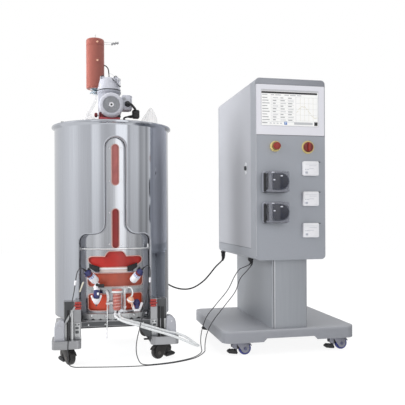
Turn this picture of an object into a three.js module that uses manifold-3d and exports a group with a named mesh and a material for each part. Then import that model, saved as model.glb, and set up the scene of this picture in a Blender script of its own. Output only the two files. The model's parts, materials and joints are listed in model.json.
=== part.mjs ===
// Single-use bioreactor with its control tower: a jacketed, wheeled tank that holds a
// mixed film bag, and a wheeled tower that carries the screen, pumps and sensor modules.
// Millimetres, +Z up. The tank looks towards -Y. The origin is on the floor, under the
// middle of the whole pair.

import * as THREE from 'three';
import { mergeVertices } from 'three/addons/utils/BufferGeometryUtils.js';
import Module from 'manifold-3d';

const wasm = await Module();
wasm.setup();

// ------------------------------------------------------------------ driving dimensions

const gap = 0.3;                 // air between pieces that touch
const sheet = 3;                 // folded steel sheet
const running = 0.08;            // between a shaft and its bore

const tankRadius = 340;          // outside of the jacket

const tank = {
  radius: tankRadius,
  rimRadius: tankRadius + 16,
  rimTop: 1341.5,
  bottom: 236,
  linerRadius: tankRadius - 40,  // outside of the inner wall
  floorRise: 26,
  sides: 48,
};
tank.linerFloor = tank.bottom + tank.floorRise;

const cutout = {                 // the T-shaped front opening in the jacket
  slotHalf: 58,
  slotTop: 1248,
  shoulderFillet: 62,
  wideHalf: 197,
  wideTop: 709,
  wideCorner: 40,
};

const windowSizes = {            // openings in the liner that show the bag
  slotHalf: 17.5,
  upperSlot: [984, 1208],
  lowerSlot: [631, 848],
  domeBottom: 525,
  domeShoulder: 582,
  domeTop: 611,
  domeHalf: 147,
  domeFootHalf: 89,
  domeCrownHalf: 30,
  domeCrownFoot: 58,
  portBottom: 418,
  portTop: 489,
  portHalf: 150,
  lowBottom: 284,
  lowTop: 373,
  lowInner: 42,
  lowOuter: 148,
};

const bag = {
  clearance: 3,
  shoulder: 1290,
  top: 1322,
  neckRadius: 44,
  wellRadius: 104,
  wellBottom: 380,
  wellTop: 1230,
};

const stand = {
  footHalf: 78,                  // square foot pans at the four corners
  footX: tankRadius - 72,
  footY: tankRadius - 50,
  footCorner: 24,
  footBottom: 93,
  footTop: 137,
  legInner: tankRadius - 149,
  legOuter: tankRadius - 57,
  legFront: tankRadius - 15,
  legDepth: 55,
  legTop: 345,
  barBottom: 194,
  barTop: 230,
  barDepth: 40,
  deckInner: tankRadius - 104,
  coverWidth: 55,                // rounded covers beside the front legs
  coverInset: 6,
  coverTop: 248,
  coverFront: tankRadius - 4,
  coverDepth: 52,
};

const drive = {
  x: -15,
  y: 20,
  beamHalf: tankRadius - 30,
  beamTop: 1366,
  beamFront: 60,
  beamBack: 100,
  motorZ: 1445,
  motorRadius: 70,
  motorFront: 230,
  motorBack: 60,
  gearTop: 1646,
  gearFlange: 78,
  gearFlangeThick: 16,
  gearNeck: 66,
  gearCollar: 72,
  gearCollarBottom: 1556,
  gearCollarThick: 20,
  gearCap: 58,
  gearCapBottom: 1622,
  shaftRadius: 14,
  shaftTop: 1406,
  impellerRadius: 96,
  impellerZ: 430,
  deckLeft: 110,
  deckRight: 84,
  deckFront: -190,
};

const filter = {
  x: -94,
  y: 130,
  radius: 56,
  bottom: 1605,
  length: 316,
  nipple: 26,
  jacketWall: 5,
  tube: 28,
  collarDrop: 19,
  collarRadius: 26,
  collarHalf: 8,
  neck: 13,
  leadRise: 152,                 // from the bottom to where the heater's lead comes out
  sides: 24,
  postRadius: 8,
  postSide: 24,                  // the post stands to the right of the filter and in front of it
  postFront: 42,
};
filter.top = filter.bottom + filter.length;
filter.nippleTop = filter.top + filter.nipple;
filter.collarZ = filter.bottom - filter.collarDrop;

const tower = {
  spacing: 1004,                 // tank axis to tower centre line
  front: -391,                   // cabinet front, from the tank axis
  width: 426,
  depth: 877,
  bottom: 550,
  top: 1599,
  corner: 24,
};

const platform = {
  width: 811,
  depth: 808,
  setback: 8,
  top: 149,
  skirtBottom: 79,
  archBottom: 99,
  archInset: 240,
  corner: 50,
  casterInset: 104,
  casterSetback: 60,
};

const pedestal = {
  width: 220,
  depth: 740,
  setback: 31,
  corner: 18,
};

const caster = {
  wheelRadius: 37.5,
  wheelWidth: 30,
  trail: 36,
  axleRadius: 5,
  crownBottom: 80,
  crownTop: 88,
  cheek: 4,
  stemRadius: 15,
  sides: 20,                     // flats on the axle and in the wheel's bore
};

const door = {
  front: 95,
  back: tower.depth - 15,
  bottom: tower.bottom + 65,
  top: tower.top - 14,
  thick: 20,
  clearance: 2,
  lockFront: 192,
  lockZ: 1093,
  lockRadius: 14,
};

const pump = {
  left: 37,
  width: 146,
  height: 123,
  depth: 60,
  baseDepth: 26,
  hingeWidth: 10,
  rotorX: 122,
  rotorRadius: 38,
  rotorDepth: 20,
  spindle: 6,
  wall: 3,
  corner: 12,
  centres: [1000, 825],
};

const terminal = {               // measured from the motor axis
  left: 63,
  right: 112,
  front: -196,
  back: -112,
  bottom: 1424,
  top: 1510,
  glandX: 94,
  glandZ: 1457,
  glandRadius: 14,
  glandLength: 22,
};

const plug = {
  centre: [130, -150, 1407],
  width: 44,
  depth: 40,
  height: 54,
  lead: 11,
};

const strap = {
  centre: -12,
  half: 79,
  bottom: 496,
  top: 521,
  thick: 6,
  clipThick: 16,
  clipReach: 54,
};

const drain = {
  x: 5,
  radius: 25,
  collar: 29,
  bottom: 289,
  top: 406,
  nipple: 5,
  nippleSpread: 11,
};

const handKnobs = { x: 206, z: 323 };

const probes = [                 // across, out from the liner, height, and which way it points
  {
    name: 'probe_upper_left', colour: 'white', x: -108, out: 20.7, z: 448,
    points: [-61, -62, 70], length: 104, barrel: 20,
  },
  {
    name: 'probe_upper_right', colour: 'white', x: 93, out: 17.9, z: 446,
    points: [56, -58, 77], length: 96, barrel: 21,
  },
  {
    name: 'probe_lower_left', colour: 'white', x: -103, out: 25.8, z: 427,
    points: [-6, -40, -95], length: 92, barrel: 17,
  },
  {
    name: 'probe_lower_right', colour: 'blueTyre', x: 114, out: 22.8, z: 336,
    points: [2, -38, -50], length: 52, barrel: 14,
  },
];

const bezel = {
  left: -209,
  right: 207,
  bottom: 1273,
  top: 1562,
  thick: 3,
  screenDepth: 2,
  screenLeft: -178,
  screenRight: 169,
  screenBottom: 1327,
  screenTop: 1531,
};

const controls = {
  stop: { x: -96, z: 1206, ring: 31, ringDepth: 20, stem: 11, head: 21, travel: 5, reach: 48 },
  mainSwitch: { x: 105, z: 1205, plate: 38, plateDepth: 6, knob: 29, knobDepth: 26 },
};

const moduleSet = {
  x: 117,
  width: 96,
  height: 84,
  depth: 22,
  centres: [1080, 904, 721],
};

const glands = {
  power: [-192, tower.depth - 39],
  powerRadius: 14,
  powerLength: 38,
  probe: [-190, 183],
  probeRadius: 14,
  probeLength: 20,
};

const equipment = {              // mounting plate inside the cabinet, with its modules
  standoff: 20,
  front: 60,
  back: tower.depth - 57,
  bottom: tower.bottom + 90,
  top: tower.top - 39,
  studInset: 20,
  studRadius: 6,
};
equipment.blocks = [             // front, back, bottom, top, depth
  [equipment.front + 40, equipment.front + 340, equipment.top - 210, equipment.top - 60, 80],
  [equipment.front + 380, equipment.back - 60, equipment.top - 210, equipment.top - 60, 60],
  [equipment.front + 40, equipment.front + 240, equipment.bottom + 410, equipment.bottom + 610, 90],
  [equipment.front + 280, equipment.back - 60, equipment.bottom + 460, equipment.bottom + 560, 50],
  [equipment.front + 60, equipment.back - 60, equipment.bottom + 120, equipment.bottom + 260, 70],
];

// ------------------------------------------------------ routes of the cables and hoses
// Points from the tank's axis on the floor.

const exhaustRoute = [
  [-94, 130, 1577],
  [-94, 130, 1560],
  [-99, 131, 1530],
  [-122, 136, 1482],
  [-146, 142, 1440],
  [-152, 145, 1405],
];

const leadExit = filter.bottom + filter.leadRise;

const heaterLead = [
  [-40.5, 130, leadExit],
  [-30, 122, leadExit - 5],
  [-17, 92, leadExit - 29],
  [-14, 56, 1690],
  [-14, 36, 1664],
  [-14, 30, 1647.5],
];

const motorLead = [
  [79, -218.8, 1457],
  [80, -231, 1456],
  [94, -246, 1452],
  [116, -240, 1450],
  [129, -212, 1452],
  [131, -180, 1450],
  [130, -158, 1440],
  [130, -152, 1425],
];

const powerRoute = [
  [812, 447, 511.7],
  [812, 447, 502],
  [808, 445.5, 491],
  [796, 441, 478],
  [749, 424, 440],
  [700, 406, 389],
  [657, 390, 350],
  [598, 368, 316],
  [555, 352, 303],
  [511, 336, 301],
  [455, 315, 312],
  [398, 294, 338],
  [340, 272, 384],
  [290, 253, 446],
  [258, 238, 510],
  [235, 257, 570],
  [205, 282, 660],
  [175, 301, 770],
  [150, 314, 890],
  [132, 322, 1010],
  [123, 326, 1130],
  [120, 329, 1230],
  [121, 339, 1290],
  [123, 348, 1322],
  [125, 343, 1352],
  [127, 322, 1373],
  [127, 290, 1381],
  [125, 240, 1381],
  [121, 180, 1378],
  [118, 110, 1375],
  [117, 40, 1374],
  [110, -10, 1375],
  [96, -48, 1377],
  [76, -80, 1380],
  [64, -108, 1384],
  [68, -134, 1388],
  [86, -147, 1391],
  [107.1, -150, 1392],
];

const rightProbeRoute = [
  [813, -208, 529.7],
  [812, -208, 516],
  [790, -208, 503],
  [745, -206, 484],
  [717, -203, 446],
  [674, -195, 361],
  [605, -185, 276],
  [548, -172, 200],
  [522, -160, 122],
  [515, -152, 57],
  [518, -158, 10],
  [514, -190, 4.2],
  [483, -267, 3.2],
  [428, -339, 3.2],
  [350, -388, 3.2],
  [276, -416, 3.2],
  [200, -430, 3.2],
  [150, -432, 4.2],
  [124, -424, 12],
  [106, -410, 48],
  [102, -402, 90],
  [108, -400, 140],
  [119, -399, 186],
  [129, -397, 226],
  [146, -388, 300],
  [160, -378, 352],
  [175, -369, 410],
  [183, -365, 455],
  [186, -365, 500],
  [181, -368, 526],
  [169, -371, 535],
  [155, -366, 528],
  [141.4, -354.2, 512.6],
];

const leftProbeRoute = [
  [823, -208, 529.7],
  [822, -208, 512],
  [797, -207, 480],
  [747, -206, 425],
  [720, -203, 353],
  [650, -197, 262],
  [578, -188, 168],
  [549, -178, 103],
  [539, -168, 40],
  [536, -175, 8],
  [528, -208, 4.2],
  [494, -275, 3.2],
  [438, -350, 3.2],
  [356, -402, 3.2],
  [280, -430, 3.2],
  [200, -444, 3.2],
  [140, -447, 3.2],
  [60, -444, 3.2],
  [12, -438, 3.2],
  [-93, -420, 3.2],
  [-180, -402, 3.2],
  [-228, -393, 4.2],
  [-252, -387, 14],
  [-260, -382, 48],
  [-261, -379, 90],
  [-259, -376, 142],
  [-257, -369, 210],
  [-252, -363, 270],
  [-243, -360, 325],
  [-229, -359, 392],
  [-220, -360, 450],
  [-214, -364, 490],
  [-206, -370, 516],
  [-193, -375, 529],
  [-179, -372, 527],
  [-165.2, -360.2, 513.4],
];

const hoseRoute = [
  [16, -329.3, 274.6],
  [16, -329.3, 264],
  [23, -337, 250],
  [43, -348, 240],
  [70, -352, 231],
  [129, -352, 214],
  [200, -350, 190],
  [269, -347, 166],
  [330, -349, 150],
  [385, -350, 126],
  [425, -353, 98],
  [447, -366, 83],
  [452, -384, 80],
  [440, -402, 86],
  [410, -409, 99],
  [370, -407, 118],
  [330, -403, 136],
  [269, -397, 158],
  [200, -391, 180],
  [129, -385, 204],
  [70, -377, 222],
  [32, -362, 234],
  [7, -348, 246],
  [-6, -334, 258],
  [-6, -329.3, 266],
  [-6, -329.3, 274.6],
];

const sampleRoute = [
  [-49, -329.3, 317.6],
  [-49, -329.6, 308],
  [-49, -332, 296],
  [-49, -336, 282],
  [-49, -341, 268],
  [-50, -344, 254],
  [-50, -345, 240],
  [-50, -345, 226],
  [-51, -345, 212],
  [-51, -345, 198],
  [-51, -344, 184],
  [-52, -344, 172],
  [-52, -344, 160],
  [-53, -344, 149],
  [-53, -344, 138],
];

const cords = [                  // name, route, diameter, steps, colour
  ['power_cable', powerRoute, 10, 48, 'cable'],
  ['probe_cable_right', rightProbeRoute, 5, 46, 'cable'],
  ['probe_cable_left', leftProbeRoute, 5, 48, 'cable'],
  ['transfer_hose', hoseRoute, 14, 30, 'clear'],
  ['sample_tube', sampleRoute, 5, 8, 'clear'],
];

// --------------------------------------------------------------------- shape helpers

const finish = (color, roughness, metalness, opacity = 1) =>
  new THREE.MeshStandardMaterial({ color, roughness, metalness, opacity, transparent: opacity < 1 });

const materials = {
  polished: finish(0xb4b7bc, 0.22, 1),
  brushed: finish(0xa9acb1, 0.38, 1),
  panel: finish(0xa0a3a9, 0.45, 0.6),
  panelLight: finish(0xd9dade, 0.4, 0.4),
  darkSteel: finish(0x55595c, 0.4, 1),
  casting: finish(0xc9cbd2, 0.5, 0.1),
  black: finish(0x16171a, 0.5, 0),
  rubber: finish(0x26272a, 0.7, 0),
  blueTyre: finish(0x2a2f7c, 0.5, 0),
  red: finish(0xb4482f, 0.6, 0),
  safetyRed: finish(0xb32414, 0.4, 0),
  yellow: finish(0xe6c23a, 0.45, 0),
  white: finish(0xe9e9ee, 0.4, 0),
  film: finish(0xc7443a, 0.35, 0, 0.9),
  clear: finish(0xe4e8ea, 0.3, 0, 0.6),
  cable: finish(0x1b1c1e, 0.6, 0),
  smoke: finish(0x4b4e57, 0.2, 0, 0.7),
  screen: finish(0xf2f3f0, 0.2, 0),
};

function box(x0, x1, y0, y1, z0, z1) {
  const shape = new THREE.BoxGeometry(x1 - x0, y1 - y0, z1 - z0);
  return shape.translate((x0 + x1) / 2, (y0 + y1) / 2, (z0 + z1) / 2);
}

// A cylinder along 'x', 'y' or 'z' from the low to the high end.
function rod(axis, radius, low, high, [a, b] = [0, 0], sides = 24, highRadius = radius) {
  const shape = new THREE.CylinderGeometry(highRadius, radius, high - low, sides);
  shape.translate(0, (low + high) / 2, 0);
  if (axis === 'z') return shape.rotateX(Math.PI / 2).translate(a, b, 0);
  if (axis === 'x') return shape.rotateZ(-Math.PI / 2).translate(0, a, b);
  return shape.translate(a, 0, b);
}

// A profile of [radius, z] points turned about Z.
function turned(points, sides = 32) {
  const outline = [...points, points[0]].map(([radius, z]) => new THREE.Vector2(radius, z));
  return new THREE.LatheGeometry(outline, sides).rotateX(Math.PI / 2);
}

function outline(points) {
  return new THREE.Shape(points.map(([a, b]) => new THREE.Vector2(a, b)));
}

function roundedRect(a0, a1, b0, b1, radius) {
  const shape = new THREE.Shape();
  shape.moveTo(a0 + radius, b0);
  shape.lineTo(a1 - radius, b0);
  shape.absarc(a1 - radius, b0 + radius, radius, -Math.PI / 2, 0);
  shape.lineTo(a1, b1 - radius);
  shape.absarc(a1 - radius, b1 - radius, radius, 0, Math.PI / 2);
  shape.lineTo(a0 + radius, b1);
  shape.absarc(a0 + radius, b1 - radius, radius, Math.PI / 2, Math.PI);
  shape.lineTo(a0, b0 + radius);
  shape.absarc(a0 + radius, b0 + radius, radius, Math.PI, Math.PI * 1.5);
  return shape;
}

// A shape drawn in (x, z) with its faces at y0 and y1.
function alongY(shape, y0, y1, curveSegments = 6) {
  const solid = new THREE.ExtrudeGeometry(shape, { depth: y1 - y0, bevelEnabled: false, curveSegments });
  return solid.rotateX(Math.PI / 2).translate(0, y1, 0);
}

// A shape drawn in (y, z) with its faces at x0 and x1.
function alongX(shape, x0, x1, curveSegments = 6) {
  const solid = new THREE.ExtrudeGeometry(shape, { depth: x1 - x0, bevelEnabled: false, curveSegments });
  const turn = new THREE.Matrix4().makeBasis(
    new THREE.Vector3(0, 1, 0), new THREE.Vector3(0, 0, 1), new THREE.Vector3(1, 0, 0));
  return solid.applyMatrix4(turn).translate(x0, 0, 0);
}

// A shape drawn in (x, y) with its faces at z0 and z1.
function alongZ(shape, z0, z1, curveSegments = 6) {
  const solid = new THREE.ExtrudeGeometry(shape, { depth: z1 - z0, bevelEnabled: false, curveSegments });
  return solid.translate(0, 0, z0);
}

function signedVolume(positions, indices) {
  const [a, b, c] = [new THREE.Vector3(), new THREE.Vector3(), new THREE.Vector3()];
  let total = 0;
  for (let i = 0; i < indices.length; i += 3) {
    a.fromArray(positions, indices[i] * 3);
    b.fromArray(positions, indices[i + 1] * 3);
    c.fromArray(positions, indices[i + 2] * 3);
    total += a.dot(b.cross(c));
  }
  return total;
}

// Closed three.js geometry as a solid that can be joined and cut.
function solidOf(geometry) {
  const bare = geometry.clone();
  bare.deleteAttribute('normal');
  bare.deleteAttribute('uv');
  const merged = mergeVertices(bare, 1e-3);
  const positions = merged.getAttribute('position').array;
  const triangles = [];
  const index = merged.index.array;
  for (let i = 0; i < index.length; i += 3) {
    const [a, b, c] = [index[i], index[i + 1], index[i + 2]];
    if (a !== b && b !== c && c !== a) triangles.push(a, b, c);
  }
  if (signedVolume(positions, triangles) < 0) {
    for (let i = 0; i < triangles.length; i += 3) {
      [triangles[i], triangles[i + 1]] = [triangles[i + 1], triangles[i]];
    }
  }
  return new wasm.Manifold(new wasm.Mesh({
    numProp: 3,
    vertProperties: new Float32Array(positions),
    triVerts: new Uint32Array(triangles),
  }));
}

function geometryOf(solid) {
  const mesh = solid.getMesh();
  const geometry = new THREE.BufferGeometry();
  geometry.setAttribute('position', new THREE.BufferAttribute(new Float32Array(mesh.vertProperties), 3));
  geometry.setIndex(new THREE.BufferAttribute(new Uint32Array(mesh.triVerts), 1));
  return geometry;
}

const join = (...pieces) => geometryOf(pieces.map(solidOf).reduce((sum, piece) => sum.add(piece)));

const cut = (from, ...tools) =>
  geometryOf(tools.map(solidOf).reduce((left, tool) => left.subtract(tool), solidOf(from)));

const common = (a, b) => geometryOf(solidOf(a).intersect(solidOf(b)));

// A round cord swept along a smooth curve through the given points.
function cord(points, diameter, steps, sides = 8) {
  const route = new THREE.CatmullRomCurve3(points.map((p) => new THREE.Vector3(...p)));
  const section = new THREE.Shape();
  section.absarc(0, 0, diameter / 2, 0, Math.PI * 2);
  const corners = section.getSpacedPoints(sides).slice(0, sides);
  return new THREE.ExtrudeGeometry(new THREE.Shape(corners), { steps, extrudePath: route });
}

function place(group, name, geometry, material, position = [0, 0, 0], turn = 0) {
  const mesh = new THREE.Mesh(geometry, material);
  mesh.name = name;
  mesh.position.set(...position);
  mesh.rotation.z = turn;
  group.add(mesh);
  return mesh;
}

// ---------------------------------------------------------------------------- frames

const part = new THREE.Group();
const rightEdge = tower.spacing + platform.width / 2;
const frontEdge = tower.front - pump.depth;
const backEdge = tower.front + tower.depth;
const tankPlace = [(tank.rimRadius - rightEdge) / 2, -(frontEdge + backEdge) / 2, 0];

const vessel = new THREE.Group();
vessel.position.set(...tankPlace);
part.add(vessel);

const control = new THREE.Group();
control.position.set(tankPlace[0] + tower.spacing, tankPlace[1] + tower.front, 0);
part.add(control);

// --------------------------------------------------------------------------- casters

// Drawn about its swivel axis, with the wheel trailing along +X.
function casterFork(mountZ) {
  const half = caster.wheelWidth / 2 + 2;
  const side = outline([
    [-18, caster.crownTop],
    [-18, caster.crownBottom - 8],
    [caster.trail - 13, caster.wheelRadius - 8],
    [caster.trail, caster.wheelRadius - 13],
    [caster.trail + 13, caster.wheelRadius - 6],
    [caster.trail + 12, caster.wheelRadius + 14],
    [24, caster.crownTop],
  ]);
  const cheeks = [-half - caster.cheek, half].map((y) => alongY(side, y, y + caster.cheek));
  const crown = box(-18, 24, -half - caster.cheek, half + caster.cheek, caster.crownBottom, caster.crownTop);
  const stem = rod('z', caster.stemRadius, caster.crownTop - 1, mountZ - gap, [0, 0], 12);
  const hub = [caster.trail, caster.wheelRadius];
  const axle = rod('y', caster.axleRadius, -half - 1, half + 1, hub, caster.sides);
  const pedal = alongY(outline([
    [-17, caster.crownTop - 4],
    [-34, 62],
    [-66, 30],
    [-62, 24],
    [-30, 50],
    [-17, 62],
  ]), -14, 14);
  return join(crown, ...cheeks, stem, axle, pedal);
}

function casterWheel() {
  const half = caster.wheelWidth / 2;
  const bore = (caster.axleRadius + running) / Math.cos(Math.PI / caster.sides);
  const profile = [
    [bore, -half],
    [caster.wheelRadius - 6, -half],
    [caster.wheelRadius, 6 - half],
    [caster.wheelRadius, half - 6],
    [caster.wheelRadius - 6, half],
    [bore, half],
  ];
  return turned(profile, caster.sides).rotateX(Math.PI / 2);
}

function addCaster(group, name, [x, y], headingDeg, mountZ, tyre, forkMaterial) {
  const heading = THREE.MathUtils.degToRad(headingDeg);
  place(group, `${name}_fork`, casterFork(mountZ), forkMaterial, [x, y, 0], heading);
  const reach = caster.trail;
  const hub = [x + reach * Math.cos(heading), y + reach * Math.sin(heading), caster.wheelRadius];
  place(group, `${name}_wheel`, casterWheel(), tyre, hub, heading);
}

const standMount = stand.footTop - sheet;
for (const [corner, sx, sy, headingDeg] of [
  ['front_left', -1, -1, -60],
  ['front_right', 1, -1, 200],
  ['rear_left', -1, 1, 20],
  ['rear_right', 1, 1, 160],
]) {
  addCaster(vessel, `stand_caster_${corner}`, [sx * stand.footX, sy * stand.footY], headingDeg, standMount,
    materials.rubber, materials.darkSteel);
}

// -------------------------------------------------------------------------- tank jacket

// The T-shaped outline, grown outwards by a margin, drawn in (x, z).
function cutoutShape(margin) {
  const slot = cutout.slotHalf + margin;
  const wide = cutout.wideHalf + margin;
  const wideTop = cutout.wideTop + margin;
  const corner = cutout.wideCorner + margin;
  const fillet = cutout.shoulderFillet - margin;
  const crown = cutout.slotTop - cutout.slotHalf;
  const foot = tank.bottom - 50;
  const shape = new THREE.Shape();
  shape.moveTo(-wide, foot);
  shape.lineTo(wide, foot);
  shape.lineTo(wide, wideTop - corner);
  shape.absarc(wide - corner, wideTop - corner, corner, 0, Math.PI / 2);
  shape.lineTo(slot + fillet, wideTop);
  shape.absarc(slot + fillet, wideTop + fillet, fillet, -Math.PI / 2, -Math.PI, true);
  shape.lineTo(slot, crown);
  shape.absarc(0, crown, slot, 0, Math.PI);
  shape.lineTo(-slot, wideTop + fillet);
  shape.absarc(-slot - fillet, wideTop + fillet, fillet, 0, -Math.PI / 2, true);
  shape.lineTo(corner - wide, wideTop);
  shape.absarc(corner - wide, wideTop - corner, corner, Math.PI / 2, Math.PI);
  return shape;
}

const jacketInner = tank.linerRadius + gap;
const skinInner = tank.radius - sheet;
const beyond = tank.rimRadius + 50;

function tankJacket() {
  const skin = turned([
    [skinInner, tank.bottom],
    [tank.radius, tank.bottom],
    [tank.radius, tank.rimTop - 24],
    [tank.rimRadius, tank.rimTop - 14],
    [tank.rimRadius, tank.rimTop - 5],
    [tank.rimRadius - 5, tank.rimTop],
    [jacketInner, tank.rimTop],
    [jacketInner, tank.rimTop - sheet],
    [skinInner, tank.rimTop - sheet],
  ], tank.sides);
  const ring = turned([
    [jacketInner, tank.bottom],
    [skinInner + 1, tank.bottom],
    [skinInner + 1, cutout.slotTop + 60],
    [jacketInner, cutout.slotTop + 60],
  ], tank.sides);
  const opening = alongY(cutoutShape(0), -beyond, 0, 5);
  const frame = common(ring, cut(alongY(cutoutShape(sheet), -beyond, 0, 5), opening));
  return join(cut(skin, opening), frame);
}

// A bright rod bowed across the wide part of the opening, turned up at its right end.
function cutoutRail() {
  const z = windowSizes.lowerSlot[0] - 4;
  const bow = tank.linerRadius + 18;
  const swing = Math.asin((cutout.wideHalf + sheet / 2) / bow);
  const arc = [-1, -0.75, -0.5, -0.25, 0, 0.25, 0.5, 0.75, 1].map((share) =>
    [bow * Math.sin(swing * share), -bow * Math.cos(swing * share), z]);
  const turnUp = swing * 0.93;
  const tip = rod('z', 5, z, z + 26, [bow * Math.sin(turnUp), -bow * Math.cos(turnUp)], 8);
  return join(cord(arc, 11, 10), tip);
}

place(vessel, 'tank_jacket', join(tankJacket(), cutoutRail()), materials.polished);

// ---------------------------------------------------------------------------- tank liner

function domeWindow() {
  const w = windowSizes;
  const half = w.domeHalf;
  const shape = new THREE.Shape();
  shape.moveTo(-w.domeFootHalf, w.domeBottom);
  shape.lineTo(w.domeFootHalf, w.domeBottom);
  shape.quadraticCurveTo(half + 4, w.domeBottom + 16, half, (w.domeBottom + w.domeShoulder) / 2 + 14);
  shape.quadraticCurveTo(half - 4, w.domeShoulder, half - 24, w.domeShoulder);
  const bend = (w.domeCrownHalf + w.domeCrownFoot) / 2;
  shape.lineTo(w.domeCrownFoot, w.domeShoulder);
  shape.quadraticCurveTo(bend, w.domeTop, w.domeCrownHalf, w.domeTop);
  shape.lineTo(-w.domeCrownHalf, w.domeTop);
  shape.quadraticCurveTo(-bend, w.domeTop, -w.domeCrownFoot, w.domeShoulder);
  shape.lineTo(24 - half, w.domeShoulder);
  shape.quadraticCurveTo(4 - half, w.domeShoulder, -half, (w.domeBottom + w.domeShoulder) / 2 + 14);
  shape.quadraticCurveTo(-half - 4, w.domeBottom + 16, -w.domeFootHalf, w.domeBottom);
  return shape;
}

function tankLiner() {
  const inner = tank.linerRadius - sheet;
  const floor = tank.linerFloor;
  const wall = turned([
    [0, floor],
    [inner - 12, floor],
    [inner - 12, tank.bottom],
    [tank.linerRadius, tank.bottom],
    [tank.linerRadius, tank.rimTop - sheet],
    [inner, tank.rimTop - sheet],
    [inner, floor + sheet],
    [0, floor + sheet],
  ], tank.sides);
  const w = windowSizes;
  const slot = ([low, high]) => roundedRect(-w.slotHalf, w.slotHalf, low, high, w.slotHalf - 0.01);
  const holes = [
    slot(w.upperSlot),
    slot(w.lowerSlot),
    domeWindow(),
    roundedRect(-w.portHalf, w.portHalf, w.portBottom, w.portTop, 16),
    roundedRect(-w.lowOuter, -w.lowInner, w.lowBottom, w.lowTop, 14),
    roundedRect(w.lowInner, w.lowOuter, w.lowBottom, w.lowTop, 14),
  ];
  return cut(wall, ...holes.map((shape) => alongY(shape, -beyond, 0, 3)));
}

place(vessel, 'tank_liner', tankLiner(), materials.polished);

// ------------------------------------------------------------------------------ film bag

// The slack film that rises beside the drive, where the exhaust tube joins it.
function bagHump(margin) {
  const hump = new THREE.SphereGeometry(1, 14, 7);
  return hump.scale(86 + margin, 62 + margin, 150 + margin).translate(-142, 166, bag.shoulder);
}

function mediaBag() {
  const radius = tank.linerRadius - sheet - bag.clearance;
  const bottom = tank.linerFloor + sheet + 1;
  const body = turned([
    [0, bottom],
    [radius - 20, bottom],
    [radius, bottom + 14],
    [radius, bag.shoulder],
    [radius - 60, bag.top],
    [0, bag.top],
  ], 36);
  const well = rod('z', bag.wellRadius, bag.wellBottom, bag.wellTop, [drive.x, drive.y], 16);
  const neck = rod('z', bag.neckRadius, bag.wellTop - 5, bag.top + 20, [drive.x, drive.y], 16);
  const leftHump = bagHump(0);
  const rightTab = new THREE.ConeGeometry(44, 190, 8).rotateX(Math.PI / 2);
  rightTab.scale(1, 0.6, 1).translate(221, -116, bag.shoulder + 72);
  return cut(join(body, leftHump, rightTab), well, neck);
}

place(vessel, 'media_bag', mediaBag(), materials.film);

// ------------------------------------------------------------------------- agitator drive

function agitator() {
  const shaft = rod('z', drive.shaftRadius, drive.impellerZ - 30, drive.shaftTop, [0, 0], 20);
  const hub = rod('z', drive.shaftRadius + 12, drive.impellerZ - 30, drive.impellerZ + 34, [0, 0], 20);
  const blades = [0, 1, 2].map((i) => {
    const blade = box(drive.shaftRadius, drive.impellerRadius, -3, 3, -26, 26);
    blade.rotateX(0.7).translate(0, 0, drive.impellerZ);
    return blade.rotateZ((i * Math.PI * 2) / 3);
  });
  return join(shaft, hub, ...blades);
}

place(vessel, 'agitator', agitator(), materials.white, [drive.x, drive.y, 0]);

const cradle = { left: 62, right: 50, setback: 50, top: 1411 };   // the block that the motor lies in
const knob = { screw: 14, setback: 62, z: 1392, radius: 12, thick: 18 };

function driveBridge() {
  const bottom = tank.rimTop + gap;
  const plate = bottom + 10;
  const beam = box(-drive.beamHalf, drive.beamHalf, -drive.beamFront, drive.beamBack, bottom, plate);
  const ribs = [-drive.beamFront, drive.beamBack - 8].map((y) =>
    box(-drive.beamHalf + 10, drive.beamHalf - 10, y, y + 8, plate - 1, drive.beamTop));
  const [deckX0, deckX1] = [drive.x - drive.deckLeft, drive.x + drive.deckRight];
  const deck = box(deckX0, deckX1, drive.deckFront, drive.beamBack, bottom, drive.beamTop);
  const [saddleX0, saddleX1] = [drive.x - cradle.left, drive.x + cradle.right];
  const [saddleY0, saddleY1] = [cradle.setback - drive.motorFront, -drive.motorBack - 20];
  const saddle = box(saddleX0, saddleX1, saddleY0, saddleY1, drive.beamTop - 1, cradle.top);
  const seat = rod('y', drive.motorRadius + gap, -drive.motorFront - 20, 0, [drive.x, drive.motorZ], 40);
  const hole = rod('z', drive.shaftRadius + 10, bottom - 5, drive.beamTop + 5, [drive.x, drive.y], 24);
  return cut(join(beam, ...ribs, deck, cut(saddle, seat)), hole);
}

place(vessel, 'drive_bridge', driveBridge(), materials.darkSteel);

function clampKnob() {
  const head = turned([
    [0, 0],
    [knob.radius - 3, 0],
    [knob.radius, 3],
    [knob.radius, knob.thick - 4],
    [knob.radius - 3, knob.thick],
    [0, knob.thick],
  ], 16);
  return join(head, rod('z', 4, -knob.screw, 1, [0, 0], 8));
}

place(vessel, 'mount_knob', clampKnob().rotateY(-Math.PI / 2), materials.safetyRed,
  [drive.x - cradle.left - knob.screw - gap, -drive.motorFront + knob.setback, knob.z]);

const gearSides = 24;

function gearbox() {
  const base = drive.beamTop + gap;
  const bore = (drive.shaftRadius + running) / Math.cos(Math.PI / gearSides);
  const column = turned([
    [bore, base],
    [drive.gearFlange, base],
    [drive.gearFlange, base + drive.gearFlangeThick],
    [drive.gearNeck, base + drive.gearFlangeThick + 6],
    [drive.gearNeck, drive.gearCollarBottom],
    [drive.gearCollar, drive.gearCollarBottom + 4],
    [drive.gearCollar, drive.gearCollarBottom + drive.gearCollarThick],
    [drive.gearCap, drive.gearCapBottom],
    [drive.gearCap - 2, drive.gearTop],
    [0, drive.gearTop],
    [0, drive.shaftTop + gap],
    [bore, drive.shaftTop + gap],
  ], gearSides).translate(drive.x, drive.y, 0);
  const neck = rod('y', 60, gap - drive.motorBack, drive.y - 40, [drive.x, drive.motorZ], 20);
  return join(column, neck);
}

place(vessel, 'gearbox', gearbox(), materials.casting);

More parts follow.
